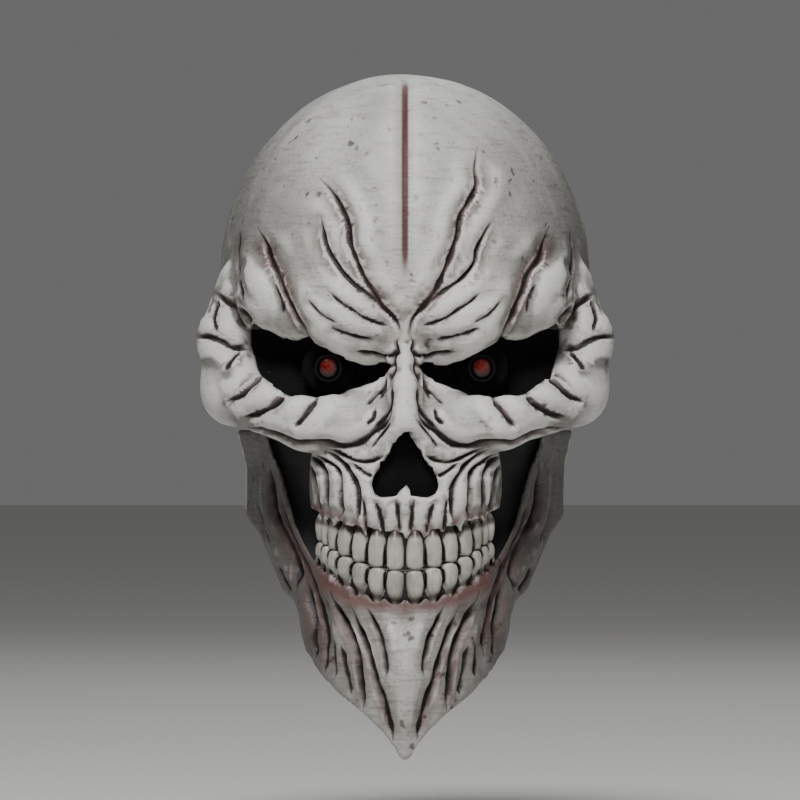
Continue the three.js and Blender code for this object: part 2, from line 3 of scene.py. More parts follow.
import bmesh
import bpy
import numpy as np
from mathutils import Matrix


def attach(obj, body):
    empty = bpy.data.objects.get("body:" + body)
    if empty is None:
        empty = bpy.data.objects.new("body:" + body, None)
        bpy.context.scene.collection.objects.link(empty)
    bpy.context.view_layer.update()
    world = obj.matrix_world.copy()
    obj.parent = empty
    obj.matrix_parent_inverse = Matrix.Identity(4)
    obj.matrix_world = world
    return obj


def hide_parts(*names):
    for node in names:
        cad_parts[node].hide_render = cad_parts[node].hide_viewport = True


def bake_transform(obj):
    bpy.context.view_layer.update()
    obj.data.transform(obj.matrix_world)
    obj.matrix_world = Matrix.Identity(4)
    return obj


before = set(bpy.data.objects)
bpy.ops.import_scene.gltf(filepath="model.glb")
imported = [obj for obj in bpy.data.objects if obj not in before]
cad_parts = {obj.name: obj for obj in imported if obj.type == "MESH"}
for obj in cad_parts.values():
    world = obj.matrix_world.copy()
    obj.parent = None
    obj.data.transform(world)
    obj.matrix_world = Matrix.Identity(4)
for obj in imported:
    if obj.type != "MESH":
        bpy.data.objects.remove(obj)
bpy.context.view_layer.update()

import openvdb
from mathutils import Vector

# ---------------------------------------------------------------------------------------------------
# Studio: a level camera in front of the face, far back on a long lens, a plain pale floor just under
# the chin and three soft panels of light. The mask hangs where a head or a stand would hold it.
# ---------------------------------------------------------------------------------------------------
lens = bpy.data.cameras.new("long lens")
lens.lens = 300
lens.sensor_width = 36
lens.clip_end = 50
camera = bpy.data.objects.new("camera", lens)
camera.location = (-0.0023, -3.13, -0.138)
camera.rotation_euler = (math.radians(90), 0, 0)
bpy.context.scene.collection.objects.link(camera)
bpy.context.scene.camera = camera


def colour(code):
    """A hex sRGB colour as linear red, green, blue and alpha."""
    parts = [int(code[i : i + 2], 16) / 255 for i in (1, 3, 5)]
    return [p / 12.92 if p < 0.04045 else ((p + 0.055) / 1.055) ** 2.4 for p in parts] + [1.0]


def add_node(tree, kind, links=None, **settings):
    """One shader node: inputs set by name or number, other settings as attributes."""
    node = tree.nodes.new(kind)
    for name, value in settings.items():
        setattr(node, name, value)
    for name, value in (links or {}).items():
        if isinstance(value, bpy.types.NodeSocket):
            tree.links.new(value, node.inputs[name])
        else:
            node.inputs[name].default_value = value
    return node


def new_material(name):
    """A material with an empty tree, its shader and its output."""
    made = bpy.data.materials.new(name)
    made.use_nodes = True
    tree = made.node_tree
    tree.nodes.clear()
    shader = add_node(tree, "ShaderNodeBsdfPrincipled")
    add_node(tree, "ShaderNodeOutputMaterial", {"Surface": shader.outputs[0]})
    return made, tree, shader


def where_on(tree):
    """The shaded point, in the piece's own metres."""
    return add_node(tree, "ShaderNodeTexCoord").outputs["Object"]


def add_bump(tree, shader, height, strength, distance):
    links = {"Height": height, "Strength": strength, "Distance": distance}
    tree.links.new(add_node(tree, "ShaderNodeBump", links).outputs[0], shader.inputs["Normal"])


paper, _, paper_shader = new_material("seamless paper, matt")
paper_shader.inputs["Base Color"].default_value = colour("#D9D8D5")
paper_shader.inputs["Roughness"].default_value = 0.9
bpy.ops.mesh.primitive_plane_add(size=14, location=(0, 3, -0.345))
floor = bpy.context.object
floor.name = "floor"
floor.data.materials.append(paper)

world = bpy.data.worlds.new("pale room")
world.use_nodes = True
world.node_tree.nodes["Background"].inputs["Color"].default_value = colour("#D6D6D6")
world.node_tree.nodes["Background"].inputs["Strength"].default_value = 0.22
bpy.context.scene.world = world

PANELS = {
    "key": ((-0.2, -1.35, 1.5), 0.6, 50),
    "fill": ((0.9, -2.2, 0.3), 1.2, 3.5),
    "back": ((0.2, 1.6, 1.3), 1.4, 6),
}
for name, (spot, size, power) in PANELS.items():
    light = bpy.data.lights.new(name, "AREA")
    light.size = size
    light.energy = power
    panel = bpy.data.objects.new(name, light)
    panel.location = spot
    panel.rotation_euler = (Vector((0, 0, -0.12)) - Vector(spot)).to_track_quat("-Z", "Y").to_euler()
    bpy.context.scene.collection.objects.link(panel)


# ---------------------------------------------------------------------------------------------------
# Skull shell: a slush-cast latex skull, open below and behind the teeth, with a wall of 3 mm. It is
# sculpted as one form and cast in one pour, so it is built as one field of distances in millimetres:
# rounded masses melted together, then cut open, meshed, and tooled with grooves along drawn lines.
# ---------------------------------------------------------------------------------------------------
def ball(p, centre, radii):
    q = (p - centre) / radii
    reach = np.linalg.norm(q, axis=-1)
    slope = np.linalg.norm(q / radii, axis=-1) + 1e-9
    return reach * (reach - 1) / slope


def limb(p, start, end, thick_start, thick_end):
    start, end = np.array(start, float), np.array(end, float)
    along = end - start
    t = np.clip((p - start) @ along / (along @ along), 0, 1)
    gap = np.linalg.norm(p - start - t[..., None] * along, axis=-1)
    return gap - (thick_start + (thick_end - thick_start) * t)


def melt(a, b, soft):
    h = np.clip(0.5 + 0.5 * (a - b) / soft, 0, 1)
    return a + (b - a) * h - soft * h * (1 - h)


def carve(a, b, soft):
    """a with b taken away, the new edge rounded."""
    return -melt(-a, b, soft)


def ease(v, low, high):
    t = np.clip((v - low) / (high - low), 0, 1)
    return t * t * (3 - 2 * t)


def polygon_gap(u, v, corners):
    """Distance from (u, v) to a closed outline, negative inside."""
    corners = np.array(corners, float)
    best = np.full(u.shape, 1e9)
    inside = np.zeros(u.shape, bool)
    for (x0, y0), (x1, y1) in zip(corners, np.roll(corners, -1, axis=0)):
        ex, ey = x1 - x0, y1 - y0
        t = np.clip(((u - x0) * ex + (v - y0) * ey) / (ex * ex + ey * ey), 0, 1)
        best = np.minimum(best, (u - x0 - t * ex) ** 2 + (v - y0 - t * ey) ** 2)
        if abs(ey) > 1e-9:
            cross = ((y0 > v) != (y1 > v)) & (u < ex * (v - y0) / ey + x0)
            inside ^= cross
    return np.sqrt(best) * np.where(inside, -1, 1)


def rounded_line(points, steps=6):
    """The points with a smooth curve's points between them."""
    pts = np.array(points, float)
    ends = np.vstack([2 * pts[0] - pts[1], pts, 2 * pts[-1] - pts[-2]])
    out = []
    for i in range(len(pts) - 1):
        a, b, c, d = ends[i : i + 4]
        for t in np.arange(steps) / steps:
            square, cube = 2 * a - 5 * b + 4 * c - d, 3 * b - a - 3 * c + d
            out.append(0.5 * (2 * b + (c - a) * t + square * t**2 + cube * t**3))
    out.append(pts[-1])
    return np.array(out)


def line_gap(u, v, line):
    """Distance to an open line, and how far along it the nearest point is, from 0 to 1."""
    best = np.full(u.shape, 1e9)
    place = np.zeros(u.shape)
    lengths = np.linalg.norm(np.diff(line, axis=0), axis=1)
    starts = np.concatenate([[0], np.cumsum(lengths)[:-1]]) / lengths.sum()
    for (x0, y0), (x1, y1), begin, length in zip(line[:-1], line[1:], starts, lengths / lengths.sum()):
        ex, ey = x1 - x0, y1 - y0
        t = np.clip(((u - x0) * ex + (v - y0) * ey) / (ex * ex + ey * ey + 1e-12), 0, 1)
        gap = (u - x0 - t * ex) ** 2 + (v - y0 - t * ey) ** 2
        nearer = gap < best
        best = np.where(nearer, gap, best)
        place = np.where(nearer, begin + t * length, place)
    return np.sqrt(best), place


# Each mass is written for the wearer's left and has its twin on the right.
SKULL_BALLS = [
    ((0, 6, -82), (87, 106, 97), 9),  # brain case
    ((0, -36, -68), (70, 76, 76), 14),  # forehead
    ((27, -82, -98), (27, 27, 24), 10),  # inner brow lobe
    ((57, -62, -90), (21, 27, 20), 8),  # outer brow lobe
    ((0, -66.5, -176), (44, 46, 60), 8),  # upper jaw
    ((18, -84, -186), (14, 26, 22), 6),  # eye-tooth roots
]
SKULL_LIMBS = [
    ((10, -99, -150), (44, -86, -147), 9, 13, 6),  # cheekbone below the eye
    ((44, -86, -147), (78, -61, -135), 13, 14.5, 6),
    ((78, -61, -135), (83, -50, -110), 14, 12.2, 5),  # flare beside the eye
    ((83, -50, -110), (76, -34, -84), 12.2, 11, 6),
    ((78, -56, -131), (80, 14, -130), 13, 12, 6),  # cheek arch over the jaw hinge
    ((0, -99, -106), (0, -109, -149), 7.5, 8.5, 5),  # nose ridge
    ((0, -109, -149), (9, -103, -176), 5, 5, 5),  # rim of the nose opening
]
SOCKETS = [((23, -118, -124), (20, 17, 11)), ((53, -103, -119), (20, 21, 13))]


def skull_form(p):
    q = p.copy()
    q[..., 0] = np.abs(q[..., 0])
    d = None
    for centre, radii, soft in SKULL_BALLS:
        e = ball(q, np.array(centre, float), np.array(radii, float))
        d = e if d is None else melt(d, e, soft)
    for start, end, r0, r1, soft in SKULL_LIMBS:
        d = melt(d, limb(q, start, end, r0, r1), soft)
    for centre, radii in SOCKETS:
        d = carve(d, ball(q, np.array(centre, float), np.array(radii, float)), 5)
    return d


EYE_OUTLINE = [
    (5.6, -122), (9, -120.3), (14, -121.8), (20, -121.3), (26, -119.4), (31, -116.8), (36.6, -114),
    (41.5, -111.4), (43.6, -108.8), (46, -110.4), (50, -111), (54.5, -109.8), (60, -106.7),
    (65.5, -105), (69, -102.6), (71.5, -106), (70.4, -113), (68.4, -119), (67, -125.4), (63.6, -128.8),
    (59.8, -131.4), (55.7, -134.6), (51.4, -136.6), (45.8, -135.8), (40, -137), (36, -136.8),
    (31, -135), (25.3, -133.8), (19, -132.2), (12.7, -129), (8.6, -125.8),
]
NOSE_OUTLINE = [
    (0, -152.6), (2.6, -154.6), (5.4, -159), (8.4, -164.4), (11.6, -169), (14.4, -173), (15.2, -177),
    (13.6, -180.6), (10.6, -182), (7, -181.8), (3.4, -180.6), (1.4, -177.6), (0, -175.6),
]
LOWER_EDGE = [
    (-52, -212), (-50, -168), (-45, -154), (-34, -142), (4, -140.5), (11, -132), (15, -116),
    (23, -106), (33, -102.5), (43, -107), (53, -126), (64, -149), (78, -158), (130, -162), (130, -260),
    (-52, -260),
]
WALL = 3.0
BITE = -215.3


PAPILLAE = [0, 9.3, 17.8, 25.2, 31.9, 36.0]  # where gum runs down between two teeth


def gum_upper(x):
    level = -197.2 + 0.0052 * x * x
    for at in PAPILLAE:
        level = level - (5.6 - 0.07 * at) * np.exp(-(((np.abs(x) - at) / (1.9 - 0.018 * at)) ** 2))
    return level


def skull_field(p):
    """The skull shell's field: the form, hollowed, opened at the eyes, nose, teeth, ears and back."""
    x, y, z = np.abs(p[..., 0]), p[..., 1], p[..., 2]
    form = skull_form(p)
    d = carve(form, form + WALL, 0.8)
    front = y + 34
    d = carve(d, np.maximum(polygon_gap(x, z, EYE_OUTLINE), front), 1.6)
    d = carve(d, np.maximum(polygon_gap(x, z, NOSE_OUTLINE), y + 60), 1.4)
    d = carve(d, polygon_gap(y, z, LOWER_EDGE), 1.2)
    d = carve(d, np.maximum(z - gum_upper(x), y + 48), 1.0)
    slit = np.maximum(x - 1.4, z + 78)
    d = carve(d, np.maximum(np.minimum(slit, np.hypot(x, z + 78) - 4), 40 - y), 0.5)
    return d


def mesh_from_field(name, field, low, high, step):
    """A closed mesh of quads where the field is zero, in a box, in millimetres."""
    axes = [np.arange(a - 2 * step, b + 3 * step, step) for a, b in zip(low, high)]
    shape = [len(a) for a in axes]
    values = np.empty(shape, np.float32)
    grid_y, grid_z = np.meshgrid(axes[1], axes[2], indexing="ij")
    for i, x in enumerate(axes[0]):
        p = np.stack([np.full(grid_y.shape, x), grid_y, grid_z], axis=-1)
        values[i] = field(p)
    grid = openvdb.FloatGrid(background=3 * step)
    grid.copyFromArray(np.clip(values, -3 * step, 3 * step).astype(np.float32))
    points, quads = grid.convertToQuads()
    points = points * step + np.array([a[0] for a in axes])
    made = bpy.data.meshes.new(name)
    made.from_pydata(points.tolist(), [], quads.tolist())
    return made


def positions(mesh):
    flat = np.empty(len(mesh.vertices) * 3)
    mesh.vertices.foreach_get("co", flat)
    return flat.reshape(-1, 3)


def place(mesh, points):
    mesh.vertices.foreach_set("co", np.ascontiguousarray(points, dtype=np.float32).ravel())
    mesh.update()


def slope_of(field, p, reach=0.35):
    """The field and its unit gradient at each point."""
    d = field(p)
    g = np.stack([field(p + reach * e) - field(p - reach * e) for e in np.eye(3)], axis=-1) / (2 * reach)
    size = np.linalg.norm(g, axis=-1, keepdims=True) + 1e-6
    return d, g / size, size[..., 0]


def settle(mesh, field, rounds=3):
    """Moves each point onto the field's zero surface."""
    p = positions(mesh)
    for _ in range(rounds):
        d, way, size = slope_of(field, p)
        p -= way * np.clip(d / np.maximum(size, 0.4), -1.2, 1.2)[:, None]
    place(mesh, p)


def refine(mesh, near):
    """Splits the faces whose points are all where near(p) is true into four."""
    work = bmesh.new()
    work.from_mesh(mesh)
    p = positions(mesh)
    chosen = near(p)
    edges = [e for e in work.edges if chosen[e.verts[0].index] and chosen[e.verts[1].index]]
    bmesh.ops.subdivide_edges(work, edges=edges, cuts=1, use_grid_fill=True)
    work.to_mesh(mesh)
    work.free()


def hollows(mesh, passes=3):
    """How far each point lies below the level of its neighbours, in the mesh's units."""
    p = positions(mesh)
    pairs = np.empty(len(mesh.edges) * 2, int)
    mesh.edges.foreach_get("vertices", pairs)
    a, b = pairs.reshape(-1, 2).T
    count = np.bincount(np.concatenate([a, b]), minlength=len(p))[:, None]
    level = p.copy()
    for _ in range(passes):
        total = np.zeros_like(level)
        np.add.at(total, a, level[b])
        np.add.at(total, b, level[a])
        level = total / count
    flat = np.empty(len(p) * 3)
    mesh.vertex_normals.foreach_get("vector", flat)
    return np.einsum("ij,ij->i", level - p, flat.reshape(-1, 3))


def paint(mesh, name, values):
    mesh.attributes.new(name, "FLOAT", "POINT").data.foreach_set("value", values.astype(np.float32))


def finish_piece(mesh, name, material):
    """The mesh, measured in millimetres, as an object in metres."""
    p = positions(mesh) / 1000
    place(mesh, p)
    mesh.materials.clear()
    mesh.materials.append(material)
    mesh.shade_smooth()
    piece = bpy.data.objects.new(name, mesh)
    bpy.context.scene.collection.objects.link(piece)
    return piece


# Lines tooled into the skull, as (x, z) from the front. A crack is (side, core width, core depth,
# shoulder width, shoulder depth, stain, points): 1 is the wearer's left, -1 the right, 0 both.
CRACKS = [
    (-1, 0.8, 2.3, 8, 1.7, 0.9, [(40, -36), (33.8, -42.8), (28.6, -52), (26, -59.6), (25.4, -67),
        (22.2, -75), (18.3, -83), (13.2, -90.6), (9.8, -96), (4.9, -101), (2.8, -105), (2.4, -109)]),
    (1, 0.8, 2.3, 8, 1.7, 0.9, [(33, -22), (32, -32.5), (33, -40), (28.8, -48.6), (25.6, -54.5),
        (23.6, -65), (19.8, -75), (14.6, -86.7), (8.4, -95.4), (3.7, -101), (2.4, -106), (2.2, -109)]),
    (-1, 0.7, 2.2, 7, 1.4, 0.6, [(38, -54), (36.4, -67), (31.2, -76.4), (24.7, -84), (15.7, -90.6),
        (10.5, -95.5)]),
    (1, 0.7, 2.2, 7, 1.4, 0.6, [(40.5, -55), (33.3, -68.6), (31.4, -75.8), (25.6, -82.8), (16.6, -89),
        (9.5, -95)]),
    (-1, 0.8, 2.4, 9, 2.0, 0.8, [(67.3, -59), (62.2, -72.5), (58.3, -80), (54.5, -90.6), (51.4, -98),
        (47.9, -104), (43.4, -109.5)]),
    (1, 0.8, 2.4, 9, 2.0, 0.8, [(66.6, -58), (63, -71), (57, -79), (53.3, -90.6), (50, -99),
        (47.5, -104), (43.4, -109.5)]),
    (0, 0.7, 2.0, 4, 1.2, 0.7, [(2.2, -109), (4.2, -112), (3.8, -115), (5.3, -119), (5.3, -124),
        (7, -128), (9.6, -133), (11.6, -138)]),
    (0, 0.5, 1.2, 5, 0.9, 0.2, [(76.5, -58), (77.5, -70), (76.5, -82), (73.5, -92)]),
    (0, 0.9, 2.0, 5, 1.4, 0.5, [(88, -88), (84, -90.6), (77.5, -95.5), (72, -101), (71, -104)]),
    (0, 0.8, 2.2, 6, 1.8, 0.5, [(97, -108.5), (89.4, -109), (83.8, -111), (79.6, -113.4), (75, -113.8),
        (72.5, -115)]),
    (0, 0.6, 1.2, 4, 0.8, 0.2, [(75.3, -115), (78.6, -119), (82.4, -124)]),
    (0, 0.7, 1.6, 5, 1.2, 0.4, [(86, -91), (88, -99), (86.5, -106)]),
    (0, 0.8, 2.4, 6, 1.8, 0.5, [(64.5, -126.5), (67.5, -128.6), (71, -131.4), (75.3, -135.6),
        (81.7, -138.8)]),
    (0, 0.9, 2.6, 6, 2.0, 0.6, [(54.5, -133.8), (57.5, -137.5), (61.3, -140.9), (68, -144.8),
        (73.5, -145.8)]),
    (0, 0.9, 2.4, 6, 1.8, 0.6, [(39.2, -135.8), (41, -139), (43.4, -141.5), (47.3, -147.1),
        (50.4, -150.4)]),
    (0, 0.9, 2.4, 5, 1.6, 0.5, [(74, -150.5), (66, -150.8), (62.9, -152.1), (55.1, -155.4),
        (49, -158.2), (42.3, -157.7), (35.6, -157.9), (28.9, -159), (22.8, -158), (18.3, -155.6),
        (15, -152.8), (10.5, -149.2), (7.4, -145), (6, -140)]),
    (0, 0.6, 1.3, 3, 0.8, 0.2, [(13.6, -141.5), (14.4, -145.9), (17.6, -149)]),
    (0, 0.5, 0.9, 3, 0.6, 0.2, [(5.4, -131), (6.2, -139), (9.6, -145.6), (14, -150.4)]),
    (0, 0.5, 0.8, 3, 0.6, 0.2, [(7, -125.4), (8.8, -131), (13.4, -136), (17.6, -140)]),
    (0, 0.5, 0.8, 3, 0.6, 0.2, [(5.6, -147.4), (10.4, -153.2), (15.2, -160)]),
    (0, 0.6, 1.4, 4, 1.0, 0.4, [(36, -160), (29, -162.6), (21.1, -165.8), (15.5, -165.5),
        (9.4, -163)]),
    (0, 0.6, 1.2, 3, 0.8, 0.4, [(24, -166.5), (20.4, -169.4), (17.2, -171.6), (14.6, -172.4)]),
    (0, 0.7, 1.8, 4, 1.2, 0.5, [(38, -160.5), (35.6, -161.4), (30, -165.2), (25, -170.2),
        (22.2, -175.8), (21.1, -181.4), (21.2, -188), (21.8, -193)]),
    (0, 0.7, 1.8, 3.5, 1.2, 0.4, [(42, -161.5), (36.7, -165.2), (32.3, -168), (29.2, -172.6),
        (28.6, -178.6), (28.6, -187), (29, -191)]),
    (0, 0.7, 1.6, 3.5, 1.0, 0.3, [(47, -162.6), (41.2, -164.8), (37.8, -168), (35.6, -173), (35, -180),
        (35.2, -188)]),
    (0, 0.7, 1.6, 3, 1.0, 0.3, [(50, -162.8), (45.1, -166.4), (41.6, -171.8), (40, -178), (39, -184),
        (38.8, -188)]),
    (0, 0.5, 0.9, 3, 0.7, 0.6, [(4.2, -183), (3.2, -189), (2.4, -198)]),
    (0, 0.5, 0.9, 3, 0.7, 0.5, [(13.6, -183.6), (11.4, -189), (9.6, -199)]),
    (0, 0.5, 0.9, 3, 0.7, 0.4, [(19.4, -182), (18.2, -189), (17.6, -198)]),
    (0, 0.5, 0.9, 4, 1.0, 0.1, [(35.2, -88), (29.6, -93.4), (24, -97), (19, -100.4), (12.7, -103),
        (7, -104.6)]),
    (0, 0.5, 0.8, 3.5, 0.8, 0.1, [(35, -104.6), (33, -105.5), (26.4, -108.2), (19.7, -109.8),
        (14, -110.4)]),
    (0, 0.6, 1.3, 3, 1.0, 0.1, [(23, -114.8), (21, -115.6), (14.6, -116.4), (10, -117.6),
        (6.4, -117.6), (4.6, -114.6)]),
    (0, 0.4, 0.6, 3, 0.6, 0.0, [(44, -92), (38, -99), (31, -103.4)]),
    (0, 0.4, 0.7, 3, 0.7, 0.0, [(60, -84), (57, -92), (56, -99)]),
]
RIDGES = [  # (half width, height, points), both sides
    (3.4, 1.6, [(0.1, -124), (0.1, -134), (0.1, -146), (0.1, -151.5)]),
    (5.5, 1.2, [(12, -122), (25, -117), (36, -110), (45, -105)]),
    (4.0, 1.0, [(12, -131), (25, -136.5), (36, -139), (44, -139)]),
    (3.0, 1.2, [(24.8, -167), (25.6, -176), (25, -188)]),
    (2.6, 1.0, [(32.4, -170), (32, -180), (32, -188)]),
    (2.4, 1.0, [(38.2, -171), (37.2, -180), (36.9, -187)]),
    (3.0, 0.9, [(14.5, -184.5), (14, -190), (14, -195)]),
    (2.6, 0.8, [(5.8, -184), (5.4, -190), (5.2, -195.5)]),
    (1.6, 1.3, [(0.1, -176.5), (0.1, -180), (0.1, -184), (0.1, -190)]),
]


def tool(p, way, cracks, ridges, shown):
    """Presses the cracks into points p along way, raises the ridges, and says where the painted shadow of the
    crack cores, the stain and the painted shade round the cracks go.
    """
    x, z = p[:, 0], p[:, 2]
    faces_ahead = ease(-way[:, 1], 0.02, 0.34) * ease(-p[:, 1], 10, 34)
    lift = np.zeros(len(p))
    groove_shadow = np.zeros(len(p))
    stain = np.zeros(len(p))
    broad_shade = np.zeros(len(p))
    for side, core, deep, shoulder, dip, red, points in cracks:
        line = rounded_line(points)
        low, high = line.min(axis=0) - 18, line.max(axis=0) + 18
        u = x * side if side else np.abs(x)
        near = np.flatnonzero(shown & (u > low[0]) & (u < high[0]) & (z > low[1]) & (z < high[1]))
        gap, along = line_gap(u[near], z[near], line)
        gap = gap / (0.3 + 0.7 * faces_ahead[near])
        wave = 1 + 0.34 * np.sin(z[near] * 0.29 + x[near] * 0.47)
        wave += 0.16 * np.sin(z[near] * 0.8 - x[near] * 0.4)
        ends = ease(along, 0, 0.22) * ease(1 - along, -0.02, 0.14)
        core_now = core * (0.35 + 0.65 * ends) * wave
        lift[near] -= dip * ends * np.exp(-((gap / (0.5 * shoulder)) ** 2))
        lift[near] -= deep * (0.25 + 0.75 * ends) * np.exp(-((gap / core_now) ** 2)) * ends**0.3
        lift[near] += 0.28 * deep * ends * np.exp(-(((gap - 2.4 * core) / (1.1 * core)) ** 2))
        # Painted shadow in the crack's core.
        groove_shadow[near] = np.maximum(groove_shadow[near], (0.35 + 0.65 * ends) * np.exp(-((gap / core_now) ** 2)))
        # Painted shade over the crack's shoulders.
        broad_shade[near] = np.maximum(broad_shade[near], ends * np.exp(-((gap / (0.42 * shoulder)) ** 2)))
        lift[near] += 0.5 * dip * ends * np.exp(-(((gap - 1.1 * shoulder) / (0.5 * shoulder)) ** 2))
        stain[near] = np.maximum(stain[near], red * ends * np.exp(-((gap / 4.4) ** 2)))
    for half, high_up, points in ridges:
        line = rounded_line(points)
        gap, along = line_gap(np.abs(x), z, line)
        ends = ease(along, 0, 0.2) * ease(1 - along, 0, 0.2)
        lift += np.where(shown, high_up * ends * np.exp(-((gap / half) ** 2)), 0)
    return lift * faces_ahead, groove_shadow * faces_ahead, stain * faces_ahead, broad_shade * faces_ahead


def grain(p, size, seed):
    """Smooth random lumps of about the given size, between -1 and 1."""
    dice = np.random.default_rng(seed)
    total = np.zeros(len(p))
    for _ in range(10):
        way = dice.normal(size=3)
        way *= 2 * math.pi / (size * np.linalg.norm(way)) * dice.uniform(0.7, 1.5)
        total += np.sin(p @ way + dice.uniform(0, 6.28))
    return total / 10**0.5


SKULL_STEP = 2.7  # between grid points, in mm; fine enough with the two refinements below
DEEPEST = -2.3  # a groove stops short of the inside of the 3 mm wall
skull_mesh = mesh_from_field("skull", skull_field, (-102, -124, -202), (102, 114, 18), SKULL_STEP)
settle(skull_mesh, skull_field)
crack_lines = [(side, rounded_line(points, 3)) for side, *_, points in CRACKS]


def near_cracks(reach):
    def test(p):
        front = (p[:, 1] < -20) & (skull_form(p) > -1.6)
        near = front & (np.abs(p[:, 0]) < 1.2 * reach) & (p[:, 2] > -90)
        near |= (p[:, 1] < -50) & (np.abs(p[:, 2] - gum_upper(p[:, 0])) < 1.1 * reach)
        for side, line in crack_lines:
            u = p[:, 0] * side if side else np.abs(p[:, 0])
            low, high = line.min(axis=0) - 6, line.max(axis=0) + 6
            level = (p[:, 2] > low[1]) & (p[:, 2] < high[1])
            box = np.flatnonzero(front & level & (u > low[0]) & (u < high[0]))
            near[box] |= line_gap(u[box], p[box, 2], line)[0] < reach
        return near
    return test


refine(skull_mesh, near_cracks(3.3))
settle(skull_mesh, skull_field, 2)
refine(skull_mesh, near_cracks(1.4))
settle(skull_mesh, skull_field, 2)

p = positions(skull_mesh)
form, way, _ = slope_of(skull_form, p)
outside = ease(form, -2.4, -0.6)
facing = outside * ease(-p[:, 1], 5, 30)
lift, groove_shadow, stain, broad_shade = tool(p, way, CRACKS, RIDGES, (form > -2.2) & (p[:, 1] < -18))
parting = ease(p[:, 2], -88, -66) * ease(-p[:, 1], 30, 64)
lift -= parting * (1.0 * np.exp(-((p[:, 0] / 1.0) ** 2)) + 0.8 * np.exp(-((p[:, 0] / 4.0) ** 2)))
stain = np.maximum(stain, parting * (np.exp(-((p[:, 0] / 1.6) ** 2)) + 0.5 * np.exp(-((p[:, 0] / 4.5) ** 2))))
# Painted shadow in the middle of the parting groove.
groove_shadow = np.maximum(groove_shadow, 0.42 * parting * np.exp(-((p[:, 0] / 0.9) ** 2)))
lift += outside * (0.3 * grain(p, 34, 3) + 0.04 * grain(p, 13, 4))
place(skull_mesh, p + way * (np.maximum(lift, DEEPEST) * outside)[:, None])
gums = np.exp(-(((p[:, 2] - gum_upper(p[:, 0])) / 4.5) ** 2)) * ease(-p[:, 1], 40, 60) * outside
stain = np.maximum(stain, 0.95 * gums)
between_brows = np.exp(-((p[:, 0] / 12) ** 2) - ((p[:, 2] + 114) / 12) ** 2) * ease(-p[:, 1], 60, 80)
stain = np.maximum(stain, 0.5 * between_brows * outside)
nose_rim = np.exp(-((polygon_gap(np.abs(p[:, 0]), p[:, 2], NOSE_OUTLINE) / 3.0) ** 2)) * (p[:, 1] < -80)
eye_rim = np.exp(-((polygon_gap(np.abs(p[:, 0]), p[:, 2], EYE_OUTLINE) / 2.4) ** 2)) * (p[:, 1] < -40)
stain = np.maximum(stain, 0.45 * nose_rim * outside)
stain = np.maximum(stain, 0.4 * eye_rim * outside)
# Painted shade: darker towards the sides and the back (partly an airbrushed tone), under the cheekbones and
# over the upper jaw, where light from above falls off.
side_shade = ease(np.abs(p[:, 0]), 34, 88) * 0.85 + ease(p[:, 1], -30, 40) * 0.35
below_cheek_shade = ease(-p[:, 2], 156, 176) * ease(np.abs(p[:, 0]), 24, 44)
upper_jaw_shade = 0.3 * ease(-p[:, 2], 150, 172) * ease(-p[:, 1], 40, 60)
paint(skull_mesh, "shade", np.clip(side_shade + 0.6 * below_cheek_shade + upper_jaw_shade, 0, 1))
# Painted shade round the cracks and painted shadow in the crack cores; below, painted shade in the hollows
# and a painted highlight on the rises.
paint(skull_mesh, "broad_shade", broad_shade * outside)
paint(skull_mesh, "groove_shadow", groove_shadow * outside)
paint(skull_mesh, "stain", stain * outside)
paint(skull_mesh, "hollow", 0.6 * hollows(skull_mesh))
paint(skull_mesh, "inside", 1 - outside)

# Painted latex: a warm grey-white with cloudy patches, specks and scratches, and dull maroon round the gums
# and deep cracks.
# Painted shade darkens the sides (partly an airbrushed tone), the hollows and the crack shoulders, painted
# shadow fills the crack cores, and a painted highlight lies on the rises. Half matt, with pits.
skin, tree, shader = new_material("painted latex, bone white, with painted shade and shadow")
place_now = where_on(tree)
PAINTED = ("groove_shadow", "stain", "broad_shade", "hollow", "shade", "inside")
read = {n: add_node(tree, "ShaderNodeAttribute", attribute_name=n).outputs["Fac"] for n in PAINTED}


def mix(tree, amount, under, over):
    node = add_node(tree, "ShaderNodeMix", data_type="RGBA")
    for slot, value in (("Factor", amount), (6, under), (7, over)):
        socket = node.inputs[slot]
        if isinstance(value, bpy.types.NodeSocket):
            tree.links.new(value, socket)
        else:
            socket.default_value = value
    return node.outputs[2]


def noise(tree, where, scale, detail=4.0, rough=0.6):
    links = {"Vector": where, "Scale": scale, "Detail": detail, "Roughness": rough}
    return add_node(tree, "ShaderNodeTexNoise", links).outputs["Fac"]


def spread(tree, value, low, high, to_low=0.0, to_high=1.0):
    links = {0: value, 1: low, 2: high, 3: to_low, 4: to_high}
    return add_node(tree, "ShaderNodeMapRange", links).outputs[0]


cloud = noise(tree, place_now, 18, 4)
speck = noise(tree, place_now, 520, 3)
pits = noise(tree, place_now, 170, 2, 0.4)
slanted = {"Vector": place_now, "Rotation": (0, 0.7, 0), "Scale": (60, 60, 460)}
streak = noise(tree, add_node(tree, "ShaderNodeMapping", slanted).outputs[0], 1, 4)
bone = mix(tree, spread(tree, cloud, 0.3, 0.7), colour("#A2A19B"), colour("#CCCBC5"))
bone = mix(tree, spread(tree, speck, 0.54, 0.70, 0, 0.45), bone, colour("#7F7C75"))
bone = mix(tree, spread(tree, streak, 0.53, 0.66, 0, 0.5), bone, colour("#85827B"))
bone = mix(tree, spread(tree, pits, 0.67, 0.74, 0, 0.85), bone, colour("#4B4742"))
